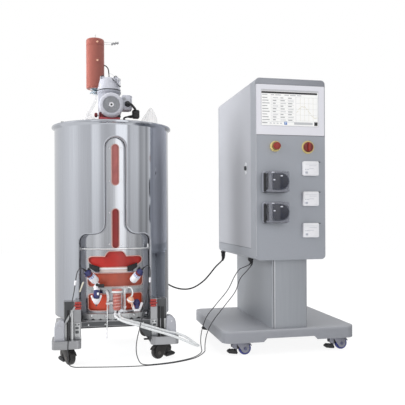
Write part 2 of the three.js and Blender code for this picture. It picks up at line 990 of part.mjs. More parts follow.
function motorHousing() {
  const r = drive.motorRadius;
  const front = -drive.motorFront;
  const back = -drive.motorBack;
  const profile = [
    [0, front + 14],
    [12, front + 14],
    [12, front],
    [r - 6, front],
    [r, front + 7],
    [r, front + 62],
    [r - 5, front + 64],
    [r - 5, back - 12],
    [r, back - 10],
    [r, back],
    [0, back],
  ];
  return turned(profile, 28).rotateX(-Math.PI / 2);
}

place(vessel, 'motor_housing', motorHousing(), materials.casting, [drive.x, 0, drive.motorZ]);

// A cast box on the motor's right side, where its leads come out.
function terminalBox() {
  const t = terminal;
  const body = box(t.left, t.right, t.front, t.back, t.bottom, t.top);
  const lid = box(t.right - 1, t.right + 8, t.front + 3, t.back - 3, t.bottom + 3, t.top - 3);
  const neck = box(drive.motorRadius * 0.6, t.left + 1, t.front + 14, t.back - 14, t.bottom + 16, t.top - 16);
  const motor = rod('y', drive.motorRadius + gap, t.front - 50, t.back + 50, [0, drive.motorZ], 40);
  const gland = rod('y', t.glandRadius, t.front - t.glandLength, t.front + 1, [t.glandX, t.glandZ], 16);
  return join(cut(join(body, neck), motor), lid, gland);
}

place(vessel, 'terminal_box', terminalBox(), materials.casting, [drive.x, 0, 0]);

function motorPlug() {
  const p = plug;
  const body = box(-p.width / 2, p.width / 2, -p.depth / 2, p.depth / 2, -p.height / 2, p.height / 2);
  const clip = box(-p.width / 2 - 3, p.width / 2 + 3, -p.depth / 2 + 6, p.depth / 2 - 6, -6, 6);
  const [x, y, z] = p.centre;
  const lead = cord(motorLead.map((point) => [point[0] - x, point[1] - y, point[2] - z]), p.lead, 12);
  return join(body, clip, lead);
}

place(vessel, 'motor_plug', motorPlug(), materials.black, plug.centre);

// --------------------------------------------------------------------------- vent filter

function filterJacket() {
  const f = filter;
  const inner = f.radius - f.jacketWall;
  const sleeve = turned([
    [inner, f.bottom],
    [f.radius, f.bottom],
    [f.radius, f.top - 12],
    [f.radius - 6, f.top],
    [inner - 14, f.top],
    [inner - 14, f.top - f.jacketWall],
    [inner, f.top - f.jacketWall],
  ], f.sides);
  const lead = cord(heaterLead.map(([x, y, z]) => [x - f.x, y - f.y, z]), 7, 8);
  const ties = [f.top - 18, f.top - 30].map((z) => rod('x', 2, f.radius - 2, f.radius + 46, [0, z], 6));
  const clamp = box(f.radius + 44, f.radius + 94, -5, 5, f.top - 34, f.top - 10);
  return join(sleeve, lead, ...ties, clamp);
}

place(vessel, 'filter_jacket', filterJacket(), materials.red, [filter.x, filter.y, 0]);

// The capsule inside the jacket, with its nipple above and the exhaust tube below.
function filterCapsule() {
  const f = filter;
  const radius = f.radius - f.jacketWall - gap;
  const capsule = turned([
    [0, f.collarZ - f.collarHalf - 6],
    [f.neck, f.collarZ - f.collarHalf - 6],
    [f.neck, f.bottom - 10],
    [radius, f.bottom + 4],
    [radius, f.top - f.jacketWall - gap],
    [14, f.top - f.jacketWall - gap],
    [12, f.top + 7],
    [5, f.top + 9],
    [5, f.nippleTop],
    [0, f.nippleTop],
  ], f.sides);
  const tube = cord(exhaustRoute.map(([x, y, z]) => [x - f.x, y - f.y, z]), f.tube, 10, 10);
  return cut(join(capsule, tube), bagHump(2 * gap).translate(-f.x, -f.y, 0));
}

place(vessel, 'filter_capsule', filterCapsule(), materials.clear, [filter.x, filter.y, 0]);

// A steel post on the bridge carries the filter in a split collar.
function filterBracket() {
  const f = filter;
  const base = drive.beamTop + gap;
  const post = rod('z', f.postRadius, base, f.collarZ + f.collarHalf, [f.postSide, -f.postFront], 12);
  const [low, high] = [f.collarZ - f.collarHalf, f.collarZ + f.collarHalf];
  const reach = Math.hypot(f.postSide, f.postFront);
  const arm = box(-f.postRadius + 1, f.postRadius - 1, -reach, 6 - f.collarRadius, low + 2, high - 2);
  arm.rotateZ(Math.atan2(f.postSide, f.postFront));
  const collar = rod('z', f.collarRadius, low, high, [0, 0], 16);
  const bore = rod('z', f.neck + 2 * gap, low - f.collarHalf, high + f.collarHalf, [0, 0], 20);
  return join(post, cut(join(collar, arm), bore));
}

place(vessel, 'filter_bracket', filterBracket(), materials.polished, [filter.x, filter.y, 0]);

// ---------------------------------------------------------- probe ports and drain fittings

// A pale strip that holds the bag's ports, with a black wedge clip at either end.
function portStrap() {
  const s = strap;
  const inner = tank.linerRadius + gap;
  const ring = (depth, low, high) => turned([
    [inner, low],
    [inner + depth, low],
    [inner + depth, high],
    [inner, high],
  ], tank.sides);
  const strip = common(ring(s.thick, s.bottom, s.top),
    box(s.centre - s.half, s.centre + s.half, -beyond, 0, s.bottom - 5, s.top + 5));
  const clips = [-1, 1].map((side) => {
    const at = (reach) => s.centre + side * reach;
    const wedge = alongY(outline([
      [at(s.half - 2), s.bottom + 4],
      [at(s.half - 2), s.top + 6],
      [at(s.half + s.clipReach), s.top + 24],
      [at(s.half + s.clipReach), s.top + 4],
      [at(s.half + 20), s.bottom + 4],
    ]), -beyond, 0);
    return common(wedge, ring(s.clipThick, s.bottom - 20, s.top + 50));
  });
  return join(strip, ...clips);
}

place(vessel, 'port_strap', portStrap(), materials.white);

// A probe in its aseptic connector: white barrel, coloured latch, cable end.
function probe(length, barrel) {
  return turned([
    [0, 0],
    [barrel, 0],
    [barrel + 3, 8],
    [barrel + 3, length * 0.36],
    [barrel - 2, length * 0.4],
    [barrel - 2, length * 0.62],
    [barrel + 2, length * 0.66],
    [barrel + 2, length * 0.8],
    [barrel * 0.4, length],
    [0, length],
  ], 12);
}

const bagRadius = tank.linerRadius - sheet - bag.clearance;

for (const p of probes) {
  const aim = new THREE.Quaternion().setFromUnitVectors(
    new THREE.Vector3(0, 0, 1), new THREE.Vector3(...p.points).normalize());
  const { x, z } = p;
  const y = -Math.sqrt((tank.linerRadius + p.out) ** 2 - x ** 2);
  const body = probe(p.length, p.barrel).applyQuaternion(aim).translate(x, y, z);
  const stub = rod('y', 8, -4, 40, [0, 0], 8);
  stub.rotateZ(Math.atan2(x, -y)).translate(x, y, z);
  const room = rod('z', bagRadius + gap, z - 80, z + 80, [0, 0], 36);
  place(vessel, p.name, cut(join(body, stub), room), materials[p.colour]);
}

// The drain line hangs in front of the liner, from a collar under the port window.
function drainTube() {
  const d = drain;
  const column = turned([
    [0, d.bottom],
    [d.radius - 6, d.bottom],
    [d.radius - 2, d.bottom + 14],
    [d.radius - 2, d.top - 22],
    [d.collar, d.top - 18],
    [d.collar, d.top],
    [0, d.top],
  ], 16);
  const nipples = [-1, 1].map((side) =>
    rod('z', d.nipple, hoseRoute[0][2] + gap, d.bottom + 5, [side * d.nippleSpread, 0], 8));
  const sample = sampleRoute[0][0] - d.x;
  const arm = rod('x', 4, sample - 3, -d.radius + 8, [0, 330], 8);
  const stub = rod('z', 4, sampleRoute[0][2] + gap, 331, [sample, 0], 8);
  return join(column, ...nipples, arm, stub);
}

place(vessel, 'drain_tube', drainTube(), materials.film,
  [drain.x, -(tank.linerRadius + drain.collar + gap), 0]);

// ---------------------------------------------------------------------------- base frame

function baseFrame() {
  const s = stand;
  const pieces = [];
  for (const sx of [-1, 1]) {
    for (const sy of [-1, 1]) {
      const span = (centre, half) => [centre - half, centre + half];
      const [x0, x1] = span(sx * s.footX, s.footHalf);
      const [y0, y1] = span(sy * s.footY, s.footHalf);
      const pan = cut(
        alongZ(roundedRect(x0, x1, y0, y1, s.footCorner), s.footBottom, s.footTop, 3),
        alongZ(roundedRect(x0 + sheet, x1 - sheet, y0 + sheet, y1 - sheet, s.footCorner - sheet),
          s.footBottom - 5, s.footTop - sheet, 3));
      const faces = [sy * (s.legFront - s.legDepth), sy * s.legFront];
      const [ly0, ly1] = [Math.min(...faces), Math.max(...faces)];
      const [lx0, lx1] = sx > 0 ? [s.legInner, s.legOuter] : [-s.legOuter, -s.legInner];
      const column = box(lx0, lx1, ly0, ly1, s.footTop - 1, s.legTop);
      const inside = sy > 0 ? [ly0 - 5, ly1 - sheet] : [ly0 + sheet, ly1 + 5];
      const channel = cut(column,
        box(lx0 + sheet, lx1 - sheet, ...inside, s.footTop + sheet, s.legTop - 2 * sheet));
      pieces.push(pan, channel);
      if (sy < 0 && sx > 0) {
        pieces.push(alongY(outline([
          [s.legInner - 70, s.barBottom + 6],
          [s.legInner + 4, s.barBottom + 6],
          [s.legInner + 4, s.footTop - 4],
          [s.footX - s.footHalf + 4, s.footBottom + 8],
        ]), -s.legFront, -s.legFront + 8));
      }
      if (sy < 0) {
        const near = s.legOuter - s.coverInset;
        const far = near + s.coverWidth;
        const shoulder = s.coverTop - s.coverWidth / 2;
        pieces.push(alongY(outline([
          [sx * near, s.footTop - 1],
          [sx * far, s.footTop - 1],
          [sx * far, shoulder - 16],
          [sx * (far - 4), shoulder + 6],
          [sx * (far - 14), s.coverTop - 8],
          [sx * (far - 28), s.coverTop],
          [sx * (near + 16), s.coverTop],
          [sx * (near + 4), s.coverTop - 6],
          [sx * near, s.coverTop - 22],
        ]), -s.coverFront, s.coverDepth - s.coverFront));
      }
    }
  }
  const reach = s.legInner + 2;
  for (const sy of [-1, 1]) {
    const [y0, y1] = sy < 0 ? [-s.legFront, s.barDepth - s.legFront] : [s.legFront - s.barDepth, s.legFront];
    pieces.push(box(-reach, reach, y0, y1, s.barBottom, s.barTop));
  }
  const railTop = tank.bottom - gap;
  for (const sx of [-1, 1]) {
    const barOuter = s.legOuter - 12;
    const [x0, x1] = sx < 0 ? [-barOuter, s.barDepth - barOuter] : [barOuter - s.barDepth, barOuter];
    const reachY = s.legFront - s.legDepth + 2;
    pieces.push(box(x0, x1, -reachY, reachY, s.barBottom, s.barTop));
  }
  const deck = turned([
    [s.deckInner, s.barTop - 1],
    [tank.radius, s.barTop - 1],
    [tank.radius, railTop],
    [s.deckInner, railTop],
  ], 36);
  const clear = rod('z', tank.radius + gap, railTop - gap, s.legTop + 20, [0, 0], tank.sides);
  return cut(join(...pieces, deck), clear);
}

place(vessel, 'base_frame', baseFrame(), materials.brushed);

// Star knobs on the front legs, which clamp the lower hoses' rails.
function handKnob() {
  const head = turned([
    [0, 0],
    [17, 0],
    [20, 4],
    [20, 14],
    [15, 20],
    [0, 20],
  ], 12);
  return join(head, box(-27, 27, -7, 7, 6, 18));
}

for (const [side, name] of [[-1, 'left'], [1, 'right']]) {
  place(vessel, `hand_knob_${name}`, handKnob().rotateX(Math.PI / 2), materials.safetyRed,
    [side * handKnobs.x, -stand.legFront - gap, handKnobs.z]);
}

// -------------------------------------------------------------------------- tower cabinet

const half = tower.width / 2;

// The cabinet's outside, made smaller all round by an inset.
function cabinetBlock(inset) {
  const radius = tower.corner - inset;
  const face = roundedRect(inset - half, half - inset, tower.bottom + inset, tower.top - inset, radius);
  const flank = roundedRect(inset, tower.depth - inset, tower.bottom + inset, tower.top - inset, radius);
  const square = roundedRect(inset, tower.depth - 2 * radius, tower.bottom + inset, tower.top - inset, 0.5);
  return common(
    alongY(face, inset, tower.depth - inset, 4),
    join(alongX(flank, inset - half, half - inset, 4), alongX(square, inset - half, half - inset, 1)));
}

function cabinetShell() {
  const d = door;
  const shell = cut(cabinetBlock(0), cabinetBlock(sheet));
  const hole = box(-half - 5, -half + 12, d.front - d.clearance, d.back + gap,
    d.bottom - d.clearance, d.top + d.clearance);
  const e = equipment;
  const face = half - sheet - e.standoff - sheet;
  const plate = box(face, face + sheet, e.front, e.back, e.bottom, e.top);
  const studs = [e.front + e.studInset, e.back - e.studInset].flatMap((y) =>
    [e.bottom + e.studInset, e.top - e.studInset].map((z) =>
      rod('x', e.studRadius, half - sheet - e.standoff - 1, half - 1, [y, z], 8)));
  const blocks = e.blocks.map(([y0, y1, z0, z1, depth]) => box(face - depth, face + 1, y0, y1, z0, z1));
  const g = glands;
  const powerGland = rod('z', g.powerRadius, tower.bottom - g.powerLength, tower.bottom + 1, g.power, 16);
  const probeGland = rod('z', g.probeRadius, tower.bottom - g.probeLength, tower.bottom + 1, g.probe, 16);
  const stop = controls.stop;
  const ring = cut(
    rod('y', stop.ring, -stop.ringDepth, 1, [stop.x, stop.z], 20),
    rod('y', stop.ring - 6, -stop.ringDepth - 2, -stop.ringDepth + 8, [stop.x, stop.z], 20),
    rod('y', stop.stem + gap, -stop.ringDepth - 2, sheet + 4, [stop.x, stop.z], 16));
  const swap = controls.mainSwitch;
  const disc = rod('y', swap.plate, -swap.plateDepth, 1, [swap.x, swap.z], 24);
  return join(cut(join(shell, ring), hole, rod('y', stop.stem + gap, -60, sheet + 4, [stop.x, stop.z], 16)),
    plate, ...studs, ...blocks, powerGland, probeGland, disc);
}

place(control, 'cabinet_shell', cabinetShell(), materials.panel);

function displayBezel() {
  const b = bezel;
  return cut(
    alongY(roundedRect(b.left, b.right, b.bottom, b.top, 3), -b.thick - gap, -gap, 3),
    box(b.screenLeft - gap, b.screenRight + gap, -b.thick - 2, -b.thick - gap + b.screenDepth + gap,
      b.screenBottom - gap, b.screenTop + gap));
}

place(control, 'display_bezel', displayBezel(), materials.panelLight);

function displayScreen() {
  const b = bezel;
  return box(b.screenLeft, b.screenRight, -b.thick - gap - 0.6, -b.thick - gap + b.screenDepth,
    b.screenBottom, b.screenTop);
}

place(control, 'display_screen', displayScreen(), materials.screen);

function stopButton() {
  const stop = controls.stop;
  const head = turned([
    [0, stop.ringDepth + stop.travel + 2],
    [stop.head - 2, stop.ringDepth + stop.travel + 2],
    [stop.head, stop.ringDepth + stop.travel + 4],
    [stop.head, stop.reach - 5],
    [stop.head - 8, stop.reach],
    [0, stop.reach],
  ], 18);
  const stem = rod('z', stop.stem, 0, stop.ringDepth + stop.travel + 3, [0, 0], 16);
  return join(head, stem).rotateX(Math.PI / 2);
}

place(control, 'stop_button', stopButton(), materials.safetyRed, [controls.stop.x, 0, controls.stop.z]);

function switchKnob() {
  const swap = controls.mainSwitch;
  const base = rod('z', swap.knob, 0, swap.knobDepth * 0.45, [0, 0], 28);
  const grip = box(-8, 8, -swap.knob + 3, swap.knob - 3, 0, swap.knobDepth);
  return join(base, grip).rotateX(Math.PI / 2);
}

place(control, 'switch_knob', switchKnob(), materials.safetyRed,
  [controls.mainSwitch.x, -controls.mainSwitch.plateDepth - gap, controls.mainSwitch.z]);

// ------------------------------------------------------------------------ peristaltic pumps

const pumpLeft = pump.left - half;
const rotorX = pump.rotorX - half;

function pumpBody() {
  const right = pumpLeft + pump.width;
  const up = pump.height / 2;
  const back = alongY(roundedRect(pumpLeft, right, -up, up, pump.corner), -pump.baseDepth, -gap, 2);
  const face = -pump.baseDepth + 1;
  const post = box(pumpLeft, pumpLeft + pump.hingeWidth, 8 - pump.depth, face, -up + 14, up - 14);
  const spindle = rod('y', pump.spindle, face - pump.rotorDepth + 3, face, [rotorX, 0], 20);
  return join(back, post, spindle);
}

function pumpRotor() {
  const front = -pump.baseDepth - pump.rotorDepth - gap;
  const body = cut(
    rod('y', pump.rotorRadius, front, -pump.baseDepth - 1, [0, 0], 20),
    rod('y', (pump.spindle + running) / Math.cos(Math.PI / 20), front + 3, 0, [0, 0], 20));
  const arms = [0, 1, 2].map((i) => {
    const arm = box(-7, 7, front - 4, front + 1, 0, pump.rotorRadius - 6);
    return arm.rotateY((i * Math.PI * 2) / 3 + 0.4);
  });
  return join(body, ...arms);
}

function pumpCover() {
  const left = pumpLeft + pump.hingeWidth + 2 * gap;
  const right = pumpLeft + pump.width;
  const up = pump.height / 2;
  const wall = pump.wall;
  const rim = roundedRect(left, right, -up, up, pump.corner);
  const outside = alongY(rim, -pump.depth, -pump.baseDepth - gap, 3);
  const inside = alongY(roundedRect(left + wall, right - wall, wall - up, up - wall, pump.corner - wall),
    wall - pump.depth, 0, 3);
  return cut(outside, inside);
}

pump.centres.forEach((z, i) => {
  const which = ['upper', 'lower'][i];
  place(control, `pump_body_${which}`, pumpBody(), materials.black, [0, 0, z]);
  place(control, `pump_rotor_${which}`, pumpRotor(), materials.darkSteel, [rotorX, 0, z]);
  place(control, `pump_cover_${which}`, pumpCover(), materials.smoke, [0, 0, z]);
});

// ---------------------------------------------------------------------------- sensor modules

moduleSet.centres.forEach((z, i) => {
  const m = moduleSet;
  const [across, up] = [m.width / 2, m.height / 2];
  const block = alongY(roundedRect(-across, across, -up, up, 8), -m.depth, -gap, 3);
  place(control, `sensor_module_${i + 1}`, block, materials.white, [m.x, 0, z]);
});

// ------------------------------------------------------------------------------- side door

function sideDoor() {
  const d = door;
  const panel = box(-half, -half + d.thick, d.front, d.back, d.bottom, d.top);
  const [front, back] = [d.front + sheet, d.back - sheet];
  const hollow = box(sheet - half, d.thick + 5 - half, front, back, d.bottom + sheet, d.top - sheet);
  const lock = rod('x', 7 + gap, -half - 5, -half + 10, [d.lockFront, d.lockZ], 20);
  return cut(panel, hollow, lock);
}

place(control, 'side_door', sideDoor(), materials.panel);

function doorLock() {
  const d = door;
  const head = rod('x', d.lockRadius, -6, -gap, [0, 0], 20);
  const barrel = rod('x', 7, -1, 14, [0, 0], 20);
  const wing = box(-12, -5, -4, 4, -12, 12);
  return join(head, barrel, wing);
}

place(control, 'door_lock', doorLock(), materials.darkSteel, [-half, door.lockFront, door.lockZ]);

// -------------------------------------------------------------------------- wheeled platform

function basePlatform() {
  const p = platform;
  const wide = p.width / 2;
  const [front, back] = [p.setback, p.setback + p.depth];
  const pan = cut(
    alongZ(roundedRect(-wide, wide, front, back, p.corner), p.skirtBottom, p.top, 4),
    alongZ(roundedRect(sheet - wide, wide - sheet, front + sheet, back - sheet, p.corner - sheet),
      p.skirtBottom - 5, p.top - sheet, 4));
  const rise = p.archBottom - p.skirtBottom;
  const arch = alongY(outline([
    [p.archInset - wide, p.skirtBottom - 5],
    [p.archInset - wide, p.skirtBottom],
    [p.archInset + rise - wide, p.archBottom],
    [wide - p.archInset - rise, p.archBottom],
    [wide - p.archInset, p.skirtBottom],
    [wide - p.archInset, p.skirtBottom - 5],
  ]), front - 5, back + 5);
  const q = pedestal;
  const across = q.width / 2;
  const [near, far] = [q.setback, q.setback + q.depth];
  const post = alongZ(roundedRect(-across, across, near, far, q.corner), p.top - 1, tower.bottom - gap, 3);
  const inner = roundedRect(sheet - across, across - sheet, near + sheet, far - sheet, q.corner - sheet);
  const bore = alongZ(inner, p.top - 20, tower.bottom + 5, 3);
  return cut(join(cut(pan, arch), post), bore);
}

place(control, 'base_platform', basePlatform(), materials.brushed);

const towerMount = platform.top - sheet;
const wheelX = platform.width / 2 - platform.casterInset;
const wheelFront = platform.setback + platform.casterSetback;
const wheelBack = platform.setback + platform.depth - platform.casterSetback;
for (const [corner, x, y] of [
  ['front_left', -wheelX, wheelFront],
  ['front_right', wheelX, wheelFront],
  ['rear_left', -wheelX, wheelBack],
  ['rear_right', wheelX, wheelBack],
]) {
  addCaster(control, `tower_caster_${corner}`, [x, y], 0, towerMount, materials.blueTyre, materials.brushed);
}

// ------------------------------------------------------------------------ cables and hoses

for (const [name, route, diameter, steps, colour] of cords) {
  place(vessel, name, cord(route, diameter, steps), materials[colour]);
}

part.updateMatrixWorld(true);
export default part;
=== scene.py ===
import json
import math

import bmesh
import bpy
from mathutils import Matrix, Vector, noise


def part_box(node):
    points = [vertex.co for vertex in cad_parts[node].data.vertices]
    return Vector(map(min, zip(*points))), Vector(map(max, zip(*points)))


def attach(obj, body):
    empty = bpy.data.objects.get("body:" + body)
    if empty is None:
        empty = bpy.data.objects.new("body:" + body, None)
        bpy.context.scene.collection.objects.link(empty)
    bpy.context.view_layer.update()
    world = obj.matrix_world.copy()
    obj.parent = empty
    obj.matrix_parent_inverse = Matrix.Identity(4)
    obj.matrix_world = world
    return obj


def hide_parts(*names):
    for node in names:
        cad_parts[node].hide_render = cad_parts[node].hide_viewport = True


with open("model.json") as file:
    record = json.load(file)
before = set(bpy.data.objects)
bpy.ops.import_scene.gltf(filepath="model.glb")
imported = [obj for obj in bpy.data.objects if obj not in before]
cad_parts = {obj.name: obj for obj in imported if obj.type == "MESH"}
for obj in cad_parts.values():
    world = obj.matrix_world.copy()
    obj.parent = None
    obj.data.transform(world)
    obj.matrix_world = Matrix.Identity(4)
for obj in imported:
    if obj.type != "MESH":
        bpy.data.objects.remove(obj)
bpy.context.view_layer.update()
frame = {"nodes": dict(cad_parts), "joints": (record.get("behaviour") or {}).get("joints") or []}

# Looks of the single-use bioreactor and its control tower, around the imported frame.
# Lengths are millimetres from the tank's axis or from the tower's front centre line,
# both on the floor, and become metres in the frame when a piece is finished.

MM = 0.001
ROOT = "bioreactor"
GAP = 0.3                                # air between CAD pieces that touch
UP, OUT = (0, 0, 1), (0, -1, 0)          # out is towards the front
JOINTS = {j["name"]: j for j in frame["joints"]}


def middle(node):
    low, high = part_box(node)
    return (Vector(low) + Vector(high)) / 2


TANK = Vector((*middle("tank_jacket").xy, 0))
TOWER = Vector((middle("base_platform").x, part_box("display_bezel")[1][1] + GAP * MM, 0))


def corners(node, origin):
    """Lowest and highest corner of a CAD node, in millimetres from an origin."""
    return [(Vector(v) - origin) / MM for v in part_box(node)]


# ----------------------------------------------------------------------------- finishes

def fill(tree, node, inputs):
    """Sets a shader node's inputs to values or to the outputs of other nodes."""
    for socket, value in inputs.items():
        if isinstance(value, bpy.types.NodeSocket):
            tree.links.new(value, node.inputs[socket])
        else:
            node.inputs[socket].default_value = value
    return node


def add(tree, kind, inputs, operation=None):
    node = tree.nodes.new("ShaderNode" + kind)
    if operation:
        node.operation = operation
    return fill(tree, node, inputs)


M = {}


def finish(name, colour, rough=0.4, metal=0.0, grain=60.0, vary=0.08, rough_vary=0.06,
           bump=0.0, coat=0.0, alpha=1.0, glow=0.0, edge=0.0, sheen=0.0):
    """A procedural finish: grain is the noise scale, one number or three along x, y, z."""
    mat = M[name] = bpy.data.materials.new(name)
    mat.use_nodes = True
    tree = mat.node_tree
    spot = add(tree, "TexCoord", {}).outputs["Object"]
    scale = grain if isinstance(grain, tuple) else (grain,) * 3
    place = add(tree, "Mapping", {"Vector": spot, "Scale": scale}).outputs["Vector"]
    cloud = add(tree, "TexNoise", {"Vector": place, "Scale": 1.0, "Detail": 4.0}).outputs["Fac"]

    def spread(least, most):
        return add(tree, "MapRange", {"Value": cloud, "From Min": 0.3, "From Max": 0.7,
                                      "To Min": least, "To Max": most}).outputs["Result"]

    tint = add(tree, "VectorMath", {0: colour, "Scale": spread(1 - vary, 1 + vary)}, "SCALE")
    shader = fill(tree, tree.nodes["Principled BSDF"], {
        "Base Color": tint.outputs["Vector"], "Metallic": metal, "Alpha": alpha, "Sheen Weight": sheen,
        "Roughness": spread(max(rough - rough_vary, 0.02), rough + rough_vary),
        "Coat Weight": coat, "Coat Roughness": 0.08})
    if glow:
        fill(tree, shader, {"Emission Color": (*colour, 1), "Emission Strength": glow})
    if edge:
        rounding = add(tree, "Bevel", {"Radius": edge * MM})
        rounding.samples = 4
        fill(tree, shader, {"Normal": rounding.outputs["Normal"]})
    if bump:
        relief = add(tree, "Bump", {"Strength": bump, "Distance": MM, "Height": cloud})
        if edge:
            fill(tree, relief, {"Normal": rounding.outputs["Normal"]})
        fill(tree, shader, {"Normal": relief.outputs["Normal"]})


ALONG_Z = (220.0, 220.0, 3.0)            # grain drawn out upwards
ALONG_X = (3.0, 220.0, 220.0)

# colour, roughness, metal, grain, spread of the colour and of the roughness, bump
finish("tank", (0.485, 0.503, 0.545), 0.09, 1, ALONG_Z, 0.03, 0.02)
finish("liner", (0.55, 0.565, 0.60), 0.17, 1, ALONG_Z, 0.05, 0.04)
# Painted shade: a near-black steel for the sheet in the gap between jacket and liner.
finish("edge", (0.09, 0.095, 0.105), 0.4, 0.6, 40, 0.05, 0.05)
finish("flange", (0.60, 0.61, 0.64), 0.5, 0.2, 30, 0.05)
finish("steel", (0.50, 0.51, 0.52), 0.32, 1, ALONG_Z, 0.06, 0.06, 0.15, edge=2)
finish("frame", (0.37, 0.375, 0.39), 0.34, 0.85, (4.0, 24.0, 24.0), 0.04, 0.04, edge=3)
finish("rod", (0.74, 0.75, 0.76), 0.1, 1, 30, 0.03, 0.03)
finish("screw", (0.75, 0.76, 0.78), 0.2, 1, 90, 0.05, 0.05)
finish("dark_metal", (0.10, 0.105, 0.11), 0.38, 0.8, 60, 0.1, 0.08, edge=1.5)
finish("casting", (0.52, 0.53, 0.585), 0.45, 0.15, 90, 0.05, 0.08, 0.3)
# Painted shade: a darker copy of the casting paint, for the gearbox under its cap and behind the motor.
finish("gear", (0.34, 0.35, 0.40), 0.42, 0.15, 90, 0.08, 0.08, 0.3)
finish("grille", (0.33, 0.34, 0.36), 0.45, 0.3, 120, 0.1, 0.08, 0.2)
finish("black", (0.012, 0.012, 0.014), 0.42, 0, 80, 0.15, 0.08, 0.15)
finish("rubber", (0.018, 0.018, 0.02), 0.6, 0, 150, 0.15, 0.08, 0.3)
finish("sheath", (0.016, 0.016, 0.018), 0.5, 0, 200, 0.12, 0.08, 0.2)
finish("thin_sheath", (0.035, 0.036, 0.04), 0.45, 0, 200, 0.12, 0.08, 0.2)
finish("red", (0.36, 0.026, 0.018), 0.32, 0, 60, 0.06, 0.05, coat=0.3)
finish("dark_red", (0.15, 0.012, 0.014), rough_vary=0.05)
finish("pink", (0.40, 0.06, 0.075), 0.4, 0, 60, 0.06, 0.05)
finish("stop_red", (0.25, 0.016, 0.008), 0.34, 0, 60, 0.05, 0.05, coat=0.15)
finish("switch_red", (0.15, 0.009, 0.005), 0.36, 0, 60, 0.06, 0.05, coat=0.15)
finish("yellow", (0.64, 0.52, 0.21), 0.4, 0, 60, 0.04, 0.05)
finish("medium", (0.44, 0.02, 0.012), 0.34, 0, 14, 0.16, 0.08, 0.3, coat=0.15)
finish("film", (0.97, 0.97, 0.98), 0.35, 0, 18, 0.02, 0.08, 0.45, coat=0.2, alpha=0.28)
finish("sleeve", (0.30, 0.086, 0.064), 0.72, 0, 240, 0.1, 0.08, 0.5, sheen=0.2)
finish("seam", (0.29, 0.075, 0.06), 0.75, 0, 240, 0.1, 0.08, 0.4, sheen=0.2)
finish("clear", (0.80, 0.83, 0.84), 0.18, 0, 40, 0.05, 0.06, 0.1, coat=0.5, alpha=0.55)
finish("milky", (0.74, 0.76, 0.77), 0.3, 0, 40, 0.05, 0.06, 0.1, coat=0.4)
finish("white", (0.80, 0.80, 0.83), 0.4, 0, 70, 0.03, 0.06, 0.12)
finish("grey_print", (0.42, 0.44, 0.50), 0.4, 0, 70, 0.03, 0.06, 0.1)
finish("tag", (0.11, 0.115, 0.13), 0.45, 0, 70, 0.2, 0.06, 0.1)
finish("teal", (0.06, 0.13, 0.16), 0.4, 0, 70, 0.1, 0.06, 0.1)
finish("ice", (0.55, 0.66, 0.74), 0.3, 0, 70, 0.05, coat=0.3)
finish("navy", (0.018, 0.022, 0.12), 0.32, 0, 70, coat=0.3)
finish("peach", (0.80, 0.47, 0.33), 0.35, 0, 50, 0.06, coat=0.2)
finish("panel", (0.325, 0.342, 0.378), 0.42, 0.35, 260, 0.04, 0.05, 0.12, edge=1)
finish("trim", (0.27, 0.28, 0.31), 0.4, 0.35, 260, 0.04, 0.05, 0.12)
finish("bezel", (0.70, 0.70, 0.75), 0.38, 0.2, 260, 0.03, 0.05, 0.1, edge=1)
finish("platform", (0.365, 0.375, 0.405), 0.45, 0.3, (20.0, 20.0, 60.0), 0.02, 0.03)
finish("pedestal", (0.32, 0.337, 0.365), 0.42, 0.4, (60.0, 60.0, 4.0), 0.03, 0.03)
finish("tyre_blue", (0.018, 0.028, 0.24), 0.35, coat=0.3)
finish("hub", (0.12, 0.125, 0.21), 0.4, 0.2, 60, 0.06)
finish("hub_brown", (0.075, 0.068, 0.064), 0.45, vary=0.1)
finish("fork_grey", (0.25, 0.255, 0.30), 0.42, 0.5, edge=1)
finish("fork_black", (0.030, 0.028, 0.027), 0.38, 0.2, 60, 0.15, 0.08, edge=1)
finish("lid_frame", (0.30, 0.31, 0.36), 0.14, 0, 30, 0.05, 0.04, coat=0.5, alpha=0.45)
finish("smoke", (0.016, 0.019, 0.036), 0.10, 0, 30, 0.1, 0.04, coat=0.5, alpha=0.86)
# Painted highlight: pale patches that stand for reflections on the pump lids.
finish("painted_glint", (0.60, 0.61, 0.68), 0.25, 0, 60, 0.04, 0.04, coat=0.4)
finish("rotor", (0.055, 0.06, 0.08), 0.35, 0.2, 70)
finish("paper", (0.84, 0.84, 0.83), 0.3, 0, 40, 0.01, 0.02, glow=0.12)
for name, colour in {"ink": (0.015, 0.015, 0.017), "line": (0.50, 0.51, 0.53), "text": (0.28, 0.285, 0.30),
                     "blue": (0.04, 0.14, 0.42), "trace": (0.60, 0.56, 0.42)}.items():
    finish(name, colour, 0.3, 0, 40, 0.02, 0.02)
finish("tint", (0.62, 0.76, 0.92), 0.3, 0, 40, 0.02, 0.02, glow=0.1)
finish("film_edge", (0.62, 0.33, 0.29), vary=0.06, coat=0.3)
finish("strip", (0.60, 0.50, 0.47), 0.32, 0.2, (3.0, 40.0, 60.0), 0.12)
finish("tint_blue", (0.34, 0.42, 0.66), 0.3, coat=0.3)
finish("drain", (0.50, 0.16, 0.135), 0.32, vary=0.2, coat=0.3)
# Painted highlight: a paler salmon along the drain hose's rib.
finish("drain_rib_highlight", (0.66, 0.38, 0.35), 0.3, vary=0.1, coat=0.3)
finish("cream", (0.62, 0.60, 0.48), 0.35, vary=0.05)
finish("leg_plate", (0.085, 0.088, 0.092), 0.35, 0.7, ALONG_Z, 0.1, 0.08, edge=1.5)
finish("cover", (0.44, 0.45, 0.49), 0.4, 0.4, 90, 0.04)
finish("bar_dark", (0.10, 0.104, 0.11), 0.4, 0.7, ALONG_X, 0.1, 0.08)
finish("rubber_grey", (0.022, 0.021, 0.021), 0.42, 0, 60, 0.15, 0.08)
